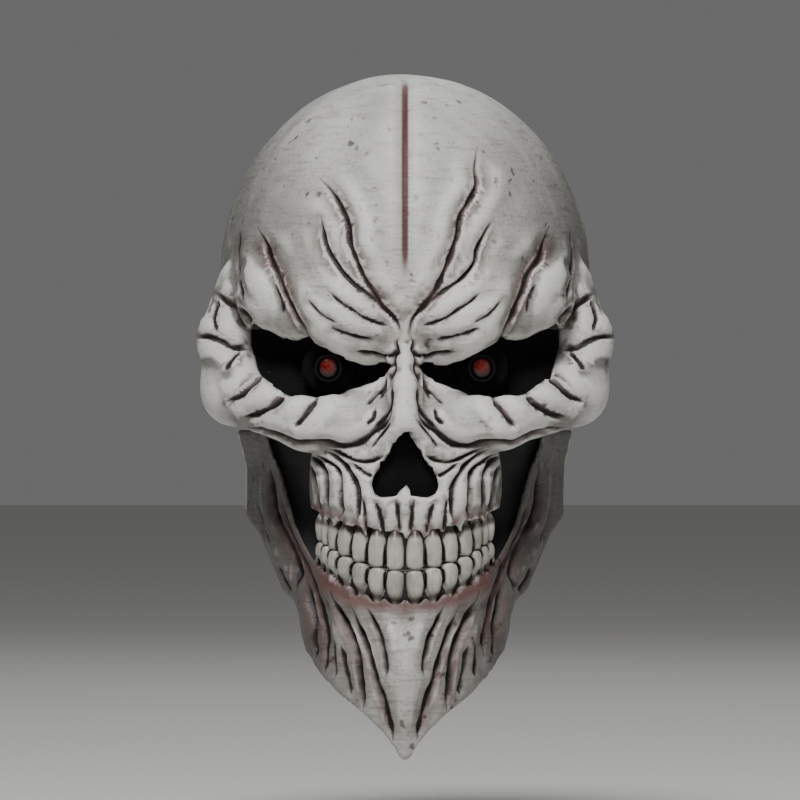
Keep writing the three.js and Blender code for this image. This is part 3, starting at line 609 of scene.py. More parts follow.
# Painted shade: darker at the sides, under the cheekbones and over the upper jaw, in the hollows and round
# the cracks; the maroon stain is the paint's own colour.
bone = mix(tree, spread(tree, read["shade"], 0.0, 1.0, 0, 0.84), bone, colour("#383532"))
bone = mix(tree, spread(tree, read["hollow"], 0.05, 0.36, 0, 0.85), bone, colour("#2E2926"))
bone = mix(tree, spread(tree, read["broad_shade"], 0.0, 1.0, 0, 0.55), bone, colour("#463C38"))
bone = mix(tree, spread(tree, read["stain"], 0.05, 1.0, 0, 0.85), bone, colour("#5A2724"))
# Painted highlight on the rises.
bone = mix(tree, spread(tree, read["hollow"], -0.04, -0.24, 0, 0.6), bone, colour("#E9E8E3"))
# Painted shadow in the crack cores.
bone = mix(tree, spread(tree, read["groove_shadow"], 0.1, 0.62), bone, colour("#0E0908"))
bone = mix(tree, read["inside"], bone, colour("#8E8B83"))
tree.links.new(bone, shader.inputs["Base Color"])
shader.inputs["Roughness"].default_value = 0.52
shader.inputs["Specular IOR Level"].default_value = 0.4
ridged = add_node(tree, "ShaderNodeMath", {0: speck, 1: streak}, operation="ADD").outputs[0]
dents = spread(tree, pits, 0.66, 0.76, 0, 1.5)
height = add_node(tree, "ShaderNodeMath", {0: ridged, 1: dents}, operation="SUBTRACT").outputs[0]
add_bump(tree, shader, height, 0.55, 0.0007)

skull_skin = finish_piece(skull_mesh, "skull_skin", skin)
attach(skull_skin, "skull")
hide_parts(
    "shell_crown", "shell_face_left", "shell_face_right", "shell_side_left", "shell_side_right"
)


# ---------------------------------------------------------------------------------------------------
# Lower jaw: one latex casting that wraps the chin and runs up to the ears, 3 mm thick. Its front is
# a shallow arch with a keel down the chin, cut to an outline, and tooled with long wavy grooves.
# ---------------------------------------------------------------------------------------------------
JAW_OUTLINE = [
    (0, -231), (12, -230.4), (22, -228.5), (34, -221), (42, -211.5), (47, -203), (51, -194),
    (54, -182), (57, -172), (62, -160), (64, -152), (110, -152), (110, -192), (75.2, -192),
    (67.6, -201.6), (61.8, -214.5), (56.6, -226), (51, -230.7), (48.6, -238), (48, -244), (45.6, -253),
    (41, -258.6), (36, -262), (28, -271), (19, -280), (10.4, -288), (5, -295), (2.4, -299.6),
    (0, -301.2),
]
JAW_CRACKS = [
    (0, 0.9, 2.6, 8, 2.0, 0.5, [(58.2, -178), (56.8, -188), (53.6, -198), (49.4, -207), (44.3, -215.7),
        (40.8, -225), (37.6, -236), (35.6, -246), (34.4, -255)]),
    (-1, 0.8, 2.4, 6, 1.8, 0.4, [(39.8, -225), (37.6, -233), (36.0, -241), (35.8, -251), (34, -262)]),
    (0, 0.9, 2.8, 7, 2.2, 0.5, [(31, -225), (29.6, -232), (27, -238.5), (23.8, -245.6), (21.4, -254),
        (20.4, -263), (19.4, -271), (18.7, -279)]),
    (0, 0.7, 1.8, 5, 1.4, 0.3, [(44.4, -222), (43.4, -231), (41.2, -240), (41, -249), (39.4, -256)]),
    (0, 0.9, 2.6, 7, 2.2, 0.5, [(22.9, -231), (21.6, -238), (18.8, -245), (16.4, -252), (14.4, -259),
        (12.8, -266), (10.4, -272.4), (9, -279), (7.2, -286), (5.4, -292)]),
    (0, 0.8, 2.2, 6, 1.8, 0.4, [(16.6, -232), (14.8, -237.5), (12, -243), (10, -249.5), (8.6, -257),
        (8.8, -263)]),
    (0, 0.6, 1.2, 4, 1.0, 0.2, [(27, -249), (26.4, -257), (25.2, -265), (23.8, -272)]),
    (0, 0.6, 1.0, 4, 1.0, 0.2, [(30.6, -247), (30.6, -256), (29.4, -264)]),
    (0, 0.8, 2.0, 6, 1.8, 0.3, [(62.6, -166), (62, -176), (60.4, -188), (57.2, -198), (52.6, -207),
        (49.4, -216), (48.6, -226)]),
    (0, 0.6, 1.2, 6, 1.8, 0.1, [(70.6, -158), (70, -172), (69.2, -184), (66, -195), (61, -204)]),
    (0, 0.6, 1.0, 4, 1.2, 0.1, [(58, -214), (55.4, -221), (52, -226.6)]),
]
JAW_RIDGES = [
    (2.6, 1.8, [(0.1, -246), (0.1, -258), (0.1, -275), (0.1, -292)]),
    (2.6, 0.7, [(4, -233.6), (13, -233.2), (22, -231.4), (35, -223.8), (43.4, -213.6), (48.8, -204),
        (53, -194), (56.2, -182), (59.4, -171)]),
    (4.0, 1.4, [(66, -168), (66.4, -180), (63.4, -192), (58.6, -203)]),
    (2.6, 1.2, [(26.2, -234), (23.0, -242), (19.4, -251), (17.2, -260), (15, -270), (12.4, -280)]),
    (2.4, 1.0, [(34.8, -230), (31.8, -239), (28.6, -247), (27.6, -256)]),
    (2.6, 1.0, [(8, -238), (5.6, -246), (4.6, -254)]),
    (2.6, 1.2, [(52, -212), (47, -226), (44.5, -240), (42.5, -252)]),
]
LOWER_PAPILLAE = [0, 9.3, 17.8, 25.2, 31.9]  # where gum rises between two lower teeth


ARCH = {"half": 43.5, "deep": 44.5, "back": -66.5}


def tooth_arch(x):
    """Where the teeth's outer faces lie, in mm from the middle of the head."""
    return ARCH["back"] - ARCH["deep"] * np.sqrt(np.maximum(0, 1 - (np.abs(x) / ARCH["half"]) ** 2))


def jaw_front(x, z):
    """How far forward the jaw's outer face lies."""
    widen = 1 + 0.05 * ease(z, -172, -152)
    keel = 9 * ease(-z, 228, 262) * (1 - 0.5 * ease(-z, 282, 302)) * np.exp(-np.abs(x) / 11)
    return -112 + 0.0205 * (x / widen) ** 2 - keel


def jaw_field(p):
    x, y, z = np.abs(p[..., 0]), p[..., 1], p[..., 2]
    lean = np.sqrt(1 + (0.041 * x) ** 2)
    sheet = np.abs((y - jaw_front(x, z)) / lean - WALL / 2) - WALL / 2
    gum = z.copy()
    for at in LOWER_PAPILLAE:
        gum = gum - 2.4 * np.exp(-(((x - at) / 2.2) ** 2)) * ease(z, -242, -231)
    d = -melt(-sheet, -polygon_gap(x, gum, JAW_OUTLINE), 1.2)
    return np.maximum(d, y - 3.4)


JAW_STEP = 1.7
jaw_mesh = mesh_from_field("jaw", jaw_field, (-82, -124, -304), (82, 6, -150), JAW_STEP)
settle(jaw_mesh, jaw_field, 2)
jaw_lines = [rounded_line(points, 3) for *_, points in JAW_CRACKS]


def near_jaw_cracks(reach):
    def test(p):
        near = np.zeros(len(p), bool)
        x = np.abs(p[:, 0])
        front = p[:, 1] - jaw_front(x, p[:, 2]) < 1.0 + 0.02 * x
        for line in jaw_lines:
            low, high = line.min(axis=0) - 5, line.max(axis=0) + 5
            level = (p[:, 2] > low[1]) & (p[:, 2] < high[1])
            box = np.flatnonzero(front & level & (x > low[0]) & (x < high[0]))
            near[box] |= line_gap(x[box], p[box, 2], line)[0] < reach
        rim = (p[:, 2] > -234) & (x < 50) & (polygon_gap(x, p[:, 2], JAW_OUTLINE) > -1.4 * reach)
        return near | rim
    return test


for reach in (3.3, 1.6):
    refine(jaw_mesh, near_jaw_cracks(reach))
    settle(jaw_mesh, jaw_field, 2)
p = positions(jaw_mesh)
_, way, _ = slope_of(jaw_field, p)
side = np.abs(p[:, 0])
depth_in = (p[:, 1] - jaw_front(side, p[:, 2])) / np.sqrt(1 + (0.041 * side) ** 2)
outside = ease(-depth_in, -1.7, -0.7)
lift, groove_shadow, stain, broad_shade = tool(p, way, JAW_CRACKS, JAW_RIDGES, outside > 0)
rim_gap = polygon_gap(side, p[:, 2], JAW_OUTLINE)
drawn_out = p * np.array([1.0, 1.0, 0.32])
lift += (0.3 * grain(drawn_out, 13, 11) + 0.08 * grain(drawn_out, 6, 12)) * ease(-rim_gap, 0, 8)
to_teeth = np.maximum(jaw_front(side, p[:, 2]) - tooth_arch(side), 0)
lift = np.maximum(lift, DEEPEST) * (1 - 0.7 * np.exp(-((rim_gap / 2.6) ** 2)))
lift += 0.5 * to_teeth * np.exp(-((rim_gap / 9.0) ** 2)) * ease(46 - side, 0, 12)
place(jaw_mesh, p + way * (lift * outside)[:, None])
rim = np.exp(-((rim_gap / 5.0) ** 2)) * outside
below_teeth = ease(p[:, 2], -244, -232) * ease(-side, -46, -34)
# Painted shadow in the crack cores, and painted shade round the cracks and under the lower teeth.
paint(jaw_mesh, "groove_shadow", groove_shadow * outside)
paint(jaw_mesh, "broad_shade", np.maximum(broad_shade, 0.8 * rim * below_teeth) * outside)
rim_top = np.exp(-((rim_gap / 2.5) ** 2))
paint(jaw_mesh, "stain", np.maximum(stain * outside, 0.75 * np.maximum(rim, rim_top) * below_teeth))
# Painted shade in the hollows and a weaker painted highlight on the rises.
sunk = 0.62 * hollows(jaw_mesh, 4) * (1 - 0.9 * np.exp(-((rim_gap / 3.5) ** 2)))
paint(jaw_mesh, "hollow", np.where(sunk < 0, 0.5 * sunk, sunk))
# Painted shade, darker towards the sides.
paint(jaw_mesh, "shade", np.clip(ease(side, 6, 52) * 0.9 + 0.2, 0, 1))
paint(jaw_mesh, "inside", (1 - outside) * (1 - rim_top))
jaw_skin = finish_piece(jaw_mesh, "jaw_skin", skin)
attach(jaw_skin, "jaw")
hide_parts("jaw_shell")


# ---------------------------------------------------------------------------------------------------
# Teeth: two rows of fourteen, each row one casting in polyurethane resin with its gum, glued behind the
# latex gum line. The upper row rides on the skull and the lower one on the jaw, and they meet edge to edge.
# ---------------------------------------------------------------------------------------------------
TOOTH_EDGES = [0.5, 9.3, 17.8, 25.2, 31.9, 36.0, 39.0, 41.4]  # across the front, from the middle out


TOOTH_STEP = 0.75


def bite_line(x):
    return BITE + 0.0078 * x * x


def tooth_rows(p, upper):
    """Distance to the nearest tooth of a row, to the next nearest, and to the gum behind them."""
    x, y, z = np.abs(p[..., 0]), p[..., 1], p[..., 2]
    nearest = np.full(x.shape, 1e3)
    second = np.full(x.shape, 1e3)
    for a, b in zip(TOOTH_EDGES[:-1], TOOTH_EDGES[1:]):
        start, end = np.array([a, tooth_arch(a)]), np.array([b, tooth_arch(b)])
        middle, along = (start + end) / 2, end - start
        wide = np.linalg.norm(along)
        along /= wide
        t = (x - middle[0]) * along[0] + (y - middle[1]) * along[1]
        n = (x - middle[0]) * along[1] - (y - middle[1]) * along[0]
        tip = bite_line(middle[0]) + (0.2 if upper else -0.2)
        root = (-194.5 if upper else -231.6) + 0.0075 * middle[0] ** 2 * (0.6 if upper else 1.6)
        h = np.clip((z - root) / (tip - root), 0, 1)
        neck = 0.38 if upper else 0.48
        half = (wide / 2 - 0.36) * (neck + (1 - neck) * ease(h, -0.1, 0.68)) * (1 - 0.12 * ease(h, 0.75, 1.1))
        thick = 3.9 - 2.0 * h
        out = n - (-1.7 + 2.3 * ease(h, 0.05, 0.42) - 0.9 * ease(h, 0.6, 1.0) - thick)
        ring = (np.abs(t / half) ** 2.2 + np.abs(out / thick) ** 2.1) ** (1 / 2.15)
        body = (ring - 1) * np.minimum(half, thick)
        low, high = min(tip, root) - (0 if upper else 4), max(tip, root) + (4 if upper else 0)
        crown = 0.055 * t * t
        ends = np.maximum(z - high + (0 if upper else crown), low + (crown if upper else 0) - z)
        tooth = -melt(-body, -ends, 1.5)
        second = np.minimum(second, np.maximum(nearest, tooth))
        nearest = np.minimum(nearest, tooth)
    arch = (np.hypot(x / ARCH["half"], (np.minimum(y, ARCH["back"]) - ARCH["back"]) / ARCH["deep"]) - 1) * 36
    gum = np.maximum(np.abs(arch + 4.4) - 1.6, y - ARCH["back"] - 2)
    if upper:
        low, high = bite_line(x) + 0.3, -191 + 0.003 * x * x
    else:
        low, high = -231 + 0.0085 * x * x, bite_line(x) - 0.3
    gum = np.maximum(gum, np.maximum(z - high, low - z))
    return nearest, second, gum


# Cast resin: ivory with lengthwise grain, brown at the necks, dull shine, and painted shade, near black,
# between the teeth and on the gum behind.
enamel, tree, shader = new_material("cast resin teeth, ivory stained dark")
place_now = where_on(tree)
between = add_node(tree, "ShaderNodeAttribute", attribute_name="between").outputs["Fac"]
root_stain = add_node(tree, "ShaderNodeAttribute", attribute_name="root").outputs["Fac"]
cloud = noise(tree, place_now, 60, 4)
length_grain = add_node(tree, "ShaderNodeMapping", {"Vector": place_now, "Scale": (700, 700, 90)}).outputs[0]
streak = noise(tree, length_grain, 1, 3)
ivory = mix(tree, spread(tree, cloud, 0.35, 0.7), colour("#8F8C84"), colour("#BFBCB2"))
ivory = mix(tree, spread(tree, streak, 0.52, 0.75, 0, 0.5), ivory, colour("#6B655C"))
ivory = mix(tree, spread(tree, root_stain, 0.1, 1.0, 0, 0.85), ivory, colour("#2E1C19"))
# Painted shade between the teeth and on the gum behind them.
ivory = mix(tree, spread(tree, between, 0.15, 0.8), ivory, colour("#0F0B0A"))
tree.links.new(ivory, shader.inputs["Base Color"])
shader.inputs["Roughness"].default_value = 0.38
add_bump(tree, shader, streak, 0.3, 0.0004)

ROWS = (("upper", True, (-216, -190), "skull"), ("lower", False, (-232, -201), "jaw"))
for name, upper, box_z, body in ROWS:
    def row_field(p, upper=upper):
        nearest, _, gum = tooth_rows(p, upper)
        return melt(nearest, gum, 0.6)

    mesh = mesh_from_field(name + "_teeth", row_field, (-45, -116, box_z[0]), (45, -62, box_z[1]), TOOTH_STEP)
    settle(mesh, row_field, 2)
    p = positions(mesh)
    nearest, second, gum = tooth_rows(p, upper)
    neck_line = (-198.6 if upper else -229.4) + 0.006 * p[:, 0] ** 2 * (0.6 if upper else 1.8)
    # Painted shade: near black between the teeth and on the gum behind them.
    paint(mesh, "between", np.clip(ease(-second, -1.5, -0.5) + ease(nearest - gum, -0.3, 0.4), 0, 1))
    paint(mesh, "root", 1 - ease(np.abs(p[:, 2] - neck_line), 0.4, 3.2))
    row = finish_piece(mesh, name + "_tooth_row", enamel)
    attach(row, body)
    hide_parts(name + "_teeth")


# ---------------------------------------------------------------------------------------------------
# Gauze screens: black woven nylon glued behind the eye openings and the nose opening. The wearer sees
# and breathes through them, and from outside they read as dark holes.
# ---------------------------------------------------------------------------------------------------
def soft_copy(node, name, cell, rounds, swell=0.0):
    """A node's shape with its corners rounded off: welded, remeshed in cells of so many mm and smoothed."""
    bpy.ops.object.select_all(action="DESELECT")
    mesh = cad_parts[node].data.copy()
    piece = bpy.data.objects.new(name, mesh)
    bpy.context.scene.collection.objects.link(piece)
    bpy.context.view_layer.objects.active = piece
    piece.select_set(True)
    bpy.ops.object.mode_set(mode="EDIT")
    bpy.ops.mesh.select_all(action="SELECT")
    bpy.ops.mesh.remove_doubles(threshold=0.00002)
    bpy.ops.object.mode_set(mode="OBJECT")
    remesh = piece.modifiers.new("even cells", "REMESH")
    remesh.mode = "VOXEL"
    remesh.voxel_size = cell / 1000
    bpy.ops.object.modifier_apply(modifier=remesh.name)
    relax = piece.modifiers.new("rounded edges", "SMOOTH")
    relax.factor = 0.5
    relax.iterations = rounds
    bpy.ops.object.modifier_apply(modifier=relax.name)
    if swell:
        p = positions(piece.data)
        flat = np.empty(len(p) * 3)
        piece.data.vertex_normals.foreach_get("vector", flat)
        lumpy = (swell / 1000) * (1 + 0.25 * grain(p * 1000, 14, 5))
        place(piece.data, p + flat.reshape(-1, 3) * lumpy[:, None])
    piece.data.materials.clear()
    piece.data.shade_smooth()
    return piece


def weave(tree, where, pitch, turn=0.0):
    """Two sets of crossing threads, one thread every pitch millimetres: their height, from 0 to 1."""
    turned = add_node(tree, "ShaderNodeMapping", {"Vector": where, "Rotation": (0, turn, 0)}).outputs[0]
    across = {"Vector": turned, "Scale": 314 / pitch}
    warp = add_node(tree, "ShaderNodeTexWave", across, bands_direction="X").outputs["Fac"]
    weft = add_node(tree, "ShaderNodeTexWave", across, bands_direction="Z").outputs["Fac"]
    return add_node(tree, "ShaderNodeMath", {0: warp, 1: weft}, operation="MAXIMUM").outputs[0]


# Threads 0.25 mm apart would be too fine to show, so they are drawn 0.9 mm apart.
gauze, tree, shader = new_material("gauze, plain-woven black nylon")
place_now = where_on(tree)
threads = weave(tree, place_now, 0.9)
black = mix(tree, spread(tree, threads, 0.3, 0.9), colour("#020202"), colour("#0B0A0B"))
tree.links.new(black, shader.inputs["Base Color"])
shader.inputs["Roughness"].default_value = 0.85
shader.inputs["Specular IOR Level"].default_value = 0.15
add_bump(tree, shader, threads, 0.5, 0.0002)
EYE_CUT, NOSE_CUT = (0.036, 0.076), (0.038, 0.039)
SCREENS = {"eye_screen_left": EYE_CUT, "eye_screen_right": EYE_CUT, "nose_screen": NOSE_CUT}
for node, cut in SCREENS.items():
    screen = soft_copy(node, node + "_gauze", 0.7, 3)
    screen.data.materials.append(gauze)
    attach(screen, "skull")
    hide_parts(node)


# ---------------------------------------------------------------------------------------------------
# Eye lamps: a black housing on a bracket behind each eye, with a coin cell and a red diode in it, and a
# red lens in a ribbed bezel that twists off to change the cell. The lens glows most at its middle.
# ---------------------------------------------------------------------------------------------------
LAMP_X, LAMP_Z = 35, -123.5


def dress(node, material):
    """Gives a carried-over node its finish."""
    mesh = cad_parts[node].data
    mesh.materials.clear()
    mesh.materials.append(material)
    mesh.polygons.foreach_set("material_index", [0] * len(mesh.polygons))


# Black ABS: deep, slightly uneven black that gives the eye no clear highlight.
abs_black, tree, shader = new_material("ABS, moulded black with a fine spark texture")
place_now = where_on(tree)
spark = noise(tree, place_now, 1800, 2)
flow = noise(tree, place_now, 60, 3)
shell_black = mix(tree, spread(tree, flow, 0.35, 0.7), colour("#060606"), colour("#0D0D0E"))
tree.links.new(shell_black, shader.inputs["Base Color"])
tree.links.new(spread(tree, spark, 0.3, 0.7, 0.42, 0.62), shader.inputs["Roughness"])
shader.inputs["Specular IOR Level"].default_value = 0.12
add_bump(tree, shader, spark, 0.35, 0.0001)

# Nickel plate: pale warm metal with fine brushing, the only bright metal on the mask.
nickel, tree, shader = new_material("nickel-plated steel")
place_now = where_on(tree)
drawn = {"Vector": place_now, "Scale": (3000, 200, 200)}
brushed = noise(tree, add_node(tree, "ShaderNodeMapping", drawn).outputs[0], 1, 3)
plate = mix(tree, spread(tree, brushed, 0.35, 0.7), colour("#8D8C88"), colour("#B4B2AC"))
tree.links.new(plate, shader.inputs["Base Color"])
shader.inputs["Metallic"].default_value = 1.0
tree.links.new(spread(tree, brushed, 0.3, 0.7, 0.25, 0.45), shader.inputs["Roughness"])

# Neoprene: dead black and matt, so the gap round a lamp reads as dark.
gasket_foam, tree, shader = new_material("neoprene foam, closed-cell black")
place_now = where_on(tree)
cells = add_node(tree, "ShaderNodeTexVoronoi", {"Vector": place_now, "Scale": 1500}).outputs["Distance"]
tree.links.new(mix(tree, cells, colour("#040404"), colour("#0D0D0E")), shader.inputs["Base Color"])
shader.inputs["Roughness"].default_value = 0.95
shader.inputs["Specular IOR Level"].default_value = 0.15
add_bump(tree, shader, cells, 0.5, 0.0002)

for side, sign in (("left", 1), ("right", -1)):
    # Red lens: almost black red at the rim, with a dull uneven glow at the middle.
    lens_red, tree, shader = new_material("polycarbonate, moulded clear red, " + side)
    place_now = where_on(tree)
    offset = {0: place_now, 1: (sign * LAMP_X / 1000, -0.0945, (LAMP_Z + 0.8) / 1000)}
    from_axis = add_node(tree, "ShaderNodeVectorMath", offset, operation="SUBTRACT").outputs[0]
    reach = add_node(tree, "ShaderNodeVectorMath", {0: from_axis}, operation="LENGTH").outputs["Value"]
    ember = noise(tree, place_now, 700, 3)
    core = spread(tree, reach, 0.0042, 0.0008)
    uneven = {0: core, 1: spread(tree, ember, 0.35, 0.65, 0.35, 1.0)}
    glow = add_node(tree, "ShaderNodeMath", uneven, operation="MULTIPLY").outputs[0]
    red = mix(tree, glow, colour("#120101"), colour("#6E0E06"))
    tree.links.new(red, shader.inputs["Base Color"])
    tree.links.new(mix(tree, glow, colour("#120000"), colour("#B01E0C")), shader.inputs["Emission Color"])
    shader.inputs["Emission Strength"].default_value = 0.4
    shader.inputs["Roughness"].default_value = 0.2
    dress("eye_lens_" + side, lens_red)
    for part in ("lamp_housing_", "lamp_bezel_", "lamp_bracket_"):
        dress(part + side, abs_black)
    bpy.ops.object.select_all(action="DESELECT")
    ring = dict(major_segments=64, minor_segments=20, major_radius=0.0088, minor_radius=0.0033)
    spot = (sign * 0.035, -0.0862, -0.1235)
    bpy.ops.mesh.primitive_torus_add(location=spot, rotation=(math.pi / 2, 0, 0), **ring)
    gasket = bpy.context.object
    gasket.name = "lamp_gasket_" + side
    gasket.scale = (1, 1, 0.75)
    bpy.ops.object.transform_apply(location=True, rotation=True, scale=True)
    gasket.data.materials.append(gasket_foam)
    bpy.ops.object.shade_smooth()
    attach(gasket, "skull")
    dress("lamp_cell_" + side, nickel)
    dress("lamp_diode_" + side, lens_red)


# ---------------------------------------------------------------------------------------------------
# Foam pads: open-cell foam under a thin knit, glued inside the crown, forehead, temples, nape and chin
# cup. They carry the mask on the head and keep the latex off the face.
# ---------------------------------------------------------------------------------------------------
# Foam under knit: charcoal and matt, with small cells showing through.
foam, tree, shader = new_material("polyurethane foam, open-cell, under charcoal knit")
place_now = where_on(tree)
cells = add_node(tree, "ShaderNodeTexVoronoi", {"Vector": place_now, "Scale": 700}).outputs["Distance"]
worn = noise(tree, place_now, 80, 4)
knit = mix(tree, spread(tree, worn, 0.35, 0.7), colour("#242427"), colour("#3A393D"))
knit = mix(tree, spread(tree, cells, 0.15, 0.5, 0.5, 0), knit, colour("#121214"))
tree.links.new(knit, shader.inputs["Base Color"])
shader.inputs["Roughness"].default_value = 0.95
shader.inputs["Sheen Weight"].default_value = 0.3
add_bump(tree, shader, cells, 0.6, 0.0004)
PADS = {"crown_pad": 0.5, "forehead_pad": 0.6, "temple_pad_left": 0.6, "temple_pad_right": 0.6}
PADS.update({"nape_pad_left": 0.6, "nape_pad_right": 0.6, "chin_pad": 0.6})
for node, fill in PADS.items():
    pad = soft_copy(node, node + "_foam", 1.3, 9, 0.5)
    pad.data.materials.append(foam)
    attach(pad, "jaw" if node == "chin_pad" else "skull")
    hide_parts(node)


# ---------------------------------------------------------------------------------------------------
# Back closure: two hook-and-loop tabs across the slit. Each is sewn to a root that two tubular rivets
# hold to the latex, and grips a loop patch glued on the other side. Stitches run along the long edges.
# ---------------------------------------------------------------------------------------------------
# Webbing: black with a slanted weave and a faint sheen.
webbing, tree, shader = new_material("polyester webbing, black twill")
place_now = where_on(tree)
threads = weave(tree, place_now, 1.1, 0.785)
band = mix(tree, spread(tree, threads, 0.3, 0.9), colour("#0E0E10"), colour("#2A2A2E"))
tree.links.new(band, shader.inputs["Base Color"])
shader.inputs["Roughness"].default_value = 0.8
shader.inputs["Sheen Weight"].default_value = 0.2
add_bump(tree, shader, threads, 0.6, 0.0003)

# Loop pile: black fuzz, rougher and softer than the webbing on it.
loops, tree, shader = new_material("loop pile, black nylon")
place_now = where_on(tree)
pile = noise(tree, place_now, 1500, 3)
fuzz = mix(tree, spread(tree, pile, 0.35, 0.65), colour("#0A0A0B"), colour("#303034"))
tree.links.new(fuzz, shader.inputs["Base Color"])
shader.inputs["Roughness"].default_value = 1.0
shader.inputs["Sheen Weight"].default_value = 0.5
add_bump(tree, shader, pile, 0.8, 0.0006)

# Thread: mid grey, so that the stitches show on black webbing.
thread, tree, shader = new_material("bonded nylon thread, grey")
place_now = where_on(tree)
twist = noise(tree, place_now, 2500, 2)
tree.links.new(mix(tree, twist, colour("#4A4A4E"), colour("#77777C")), shader.inputs["Base Color"])
shader.inputs["Roughness"].default_value = 0.6


def back_face(x, z, lift):
    """Points on the back of the skull, lift millimetres outside its form."""
    low, high = np.zeros(len(x)), np.full(len(x), 130.0)
    for _ in range(40):
        middle = (low + high) / 2
        outside = skull_form(np.stack([x, middle, z], axis=1)) > lift
        high = np.where(outside, middle, high)
        low = np.where(outside, low, middle)
    return np.stack([x, low, z], axis=1)


def stitch_row(name, points, long=2.2, thick=0.32):
    """A row of stitches, one between each two points."""
    verts, faces = [], []
    for a, b in zip(points[:-1], points[1:]):
        a, b = Vector(a), Vector(b)
        along = (b - a).normalized()
        up = Vector((a.x, a.y, 0)).normalized()
        over = along.cross(up)
        middle = (a + b) / 2
        start = len(verts)
        for t, rise in ((-0.5, -0.35), (-0.3, 0.3), (0.3, 0.3), (0.5, -0.35)):
            spot = middle + along * (t * long) + up * (rise * thick + 0.15)
            for u, v in ((1, 0), (0, 1), (-1, 0), (0, -1)):
                verts.append(spot + over * (u * thick) + up * (v * thick * 0.7))
        for ring in range(3):
            for k in range(4):
                a0, a1 = start + ring * 4 + k, start + ring * 4 + (k + 1) % 4
                faces.append((a0, a1, a1 + 4, a0 + 4))
        faces.append((start + 3, start + 2, start + 1, start))
        faces.append((start + 12, start + 13, start + 14, start + 15))
    mesh = bpy.data.meshes.new(name)
    mesh.from_pydata([tuple(v) for v in verts], [], faces)
    work = bmesh.new()
    work.from_mesh(mesh)
    bmesh.ops.recalc_face_normals(work, faces=work.faces)
    work.to_mesh(mesh)
    work.free()
    return finish_piece(mesh, name, thread)


for level, height in (("upper", -104), ("lower", -136)):
    tab = soft_copy("closure_tab_" + level, "tab_" + level + "_webbing", 0.5, 2)
    tab.data.materials.append(webbing)
    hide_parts("closure_tab_" + level)
    root_piece = soft_copy("tab_root_" + level, "tab_root_" + level + "_webbing", 0.5, 2)
    root_piece.data.materials.append(webbing)
    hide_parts("tab_root_" + level)
    patch = soft_copy("loop_patch_" + level, "loop_patch_" + level + "_pile", 0.45, 2)
    patch.data.materials.append(loops)
    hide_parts("loop_patch_" + level)
    strips = (
        (tab, "tab_" + level, 0.02, patch),
        (root_piece, "skull", 0.02, skull_skin),
        (patch, "skull", 0.017, skull_skin),
    )
    # Each strip's length is its modelled area over its width, which again can't show a stretch.
    for piece, body, width, rests in strips:
        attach(piece, body)
    for edge in (-8.2, 8.2):
        xs = np.arange(-29, 32.1, 3.0)
        row = back_face(xs, np.full(len(xs), height + edge), 3.42)
        seam = stitch_row(f"tab_stitches_{level}_{'low' if edge < 0 else 'high'}", row)
        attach(seam, "tab_" + level)
    for k in (1, 2):
        dress(f"tab_rivet_{level}_{k}", nickel)


# ---------------------------------------------------------------------------------------------------
# Jaw drive: a black yoke riveted inside the jaw carries the chin cup, and turns on a screw through a
# hinge block at each temple. When the wearer's chin drops, the jaw follows.
# ---------------------------------------------------------------------------------------------------
for node in ("jaw_yoke", "chin_cup", "hinge_block_left", "hinge_block_right"):
    dress(node, abs_black)
for node in ("jaw_screw_left", "jaw_screw_right", "cup_screw_left", "cup_screw_right"):
    dress(node, nickel)


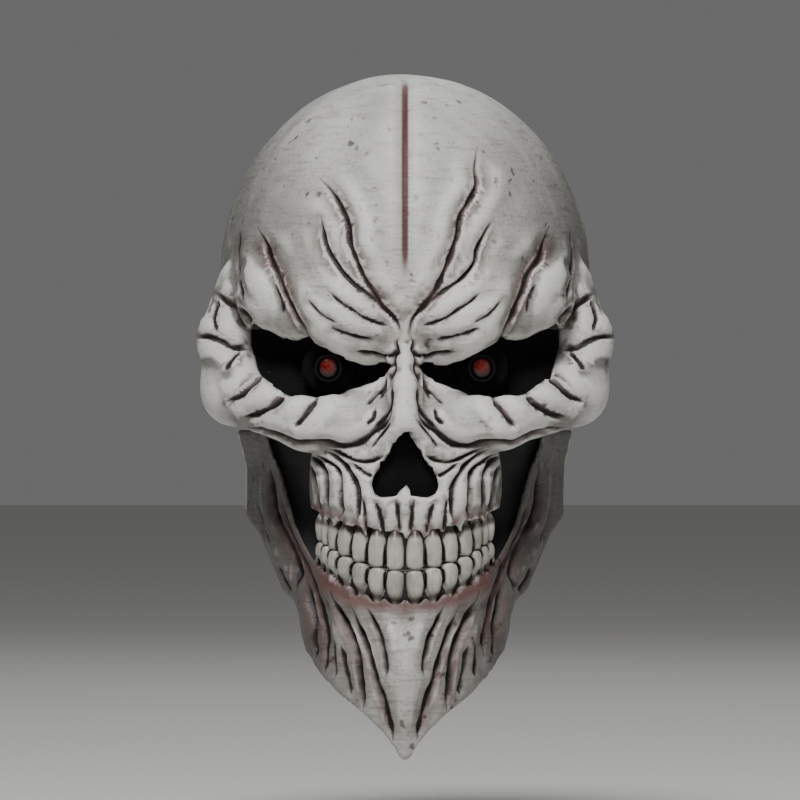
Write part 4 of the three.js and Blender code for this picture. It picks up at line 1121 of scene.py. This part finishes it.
# ---------------------------------------------------------------------------------------------------
# Cheek gussets and elastics: black stretch jersey glued inside the upper jaw and the ramus, loose enough
# to let the jaw drop, and a knitted elastic behind each that pulls the jaw shut again.
# ---------------------------------------------------------------------------------------------------
# Jersey: dark grey knit with fine ribs, which reads as a shadow beside the teeth.
jersey, tree, shader = new_material("stretch jersey, dark grey polyester")
place_now = where_on(tree)
ribbing = {"Vector": place_now, "Scale": 60.0, "Distortion": 1.5}
ribs = add_node(tree, "ShaderNodeTexWave", ribbing, bands_direction="Z").outputs["Fac"]
shade_now = noise(tree, place_now, 60, 3)
knit = mix(tree, spread(tree, shade_now, 0.35, 0.7), colour("#0E0E0F"), colour("#1D1D1F"))
tree.links.new(knit, shader.inputs["Base Color"])
shader.inputs["Roughness"].default_value = 0.9
shader.inputs["Sheen Weight"].default_value = 0.25
add_bump(tree, shader, ribs, 0.4, 0.0002)

GUSSET_EDGE = [
    (-150, 66.5), (-160, 65.5), (-172, 60.6), (-182, 57.6), (-194, 54.4), (-203, 50.4), (-211, 45.6),
    (-217, 41.4),
]
for side, sign in (("left", 1), ("right", -1)):
    rows, columns = 34, 20
    points = []
    for down in np.linspace(0, 1, rows):
        z_far = -150 - 66 * down
        outer = float(np.interp(-z_far, [-z for z, _ in GUSSET_EDGE], [x for _, x in GUSSET_EDGE]))
        near_end = np.array([38.4, -57.5, -150 - 46.5 * down])
        far_end = np.array([outer, float(jaw_front(outer, z_far)) + 4.4, z_far])
        for t in np.linspace(0, 1, columns):
            slack = 1.8 * math.sin(math.pi * t) + 0.5 * math.sin(3 * math.pi * t) * math.sin(9 * down)
            spot = near_end + (far_end - near_end) * t
            points.append((sign * spot[0], spot[1] + slack, spot[2]))
    faces = []
    for i in range(rows - 1):
        for k in range(columns - 1):
            a = i * columns + k
            face = (a, a + 1, a + columns + 1, a + columns)
            faces.append(face if sign > 0 else (face[0], *face[:0:-1]))
    mesh = bpy.data.meshes.new("gusset")
    mesh.from_pydata(points, [], faces)
    gusset = finish_piece(mesh, "cheek_gusset_" + side + "_jersey", jersey)
    # One side of the modelled jersey: its cut size is read off it, not known apart from it.
    bpy.ops.object.select_all(action="DESELECT")
    bpy.context.view_layer.objects.active = gusset
    gusset.select_set(True)
    wall = gusset.modifiers.new("cloth thickness", "SOLIDIFY")
    wall.thickness = 0.0008
    bpy.ops.object.modifier_apply(modifier=wall.name)
    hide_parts("cheek_gusset_" + side)
    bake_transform(gusset)
    band = soft_copy("jaw_elastic_" + side, "jaw_elastic_" + side + "_knit", 0.4, 2)
    band.data.materials.append(webbing)
    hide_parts("jaw_elastic_" + side)
    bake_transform(band)


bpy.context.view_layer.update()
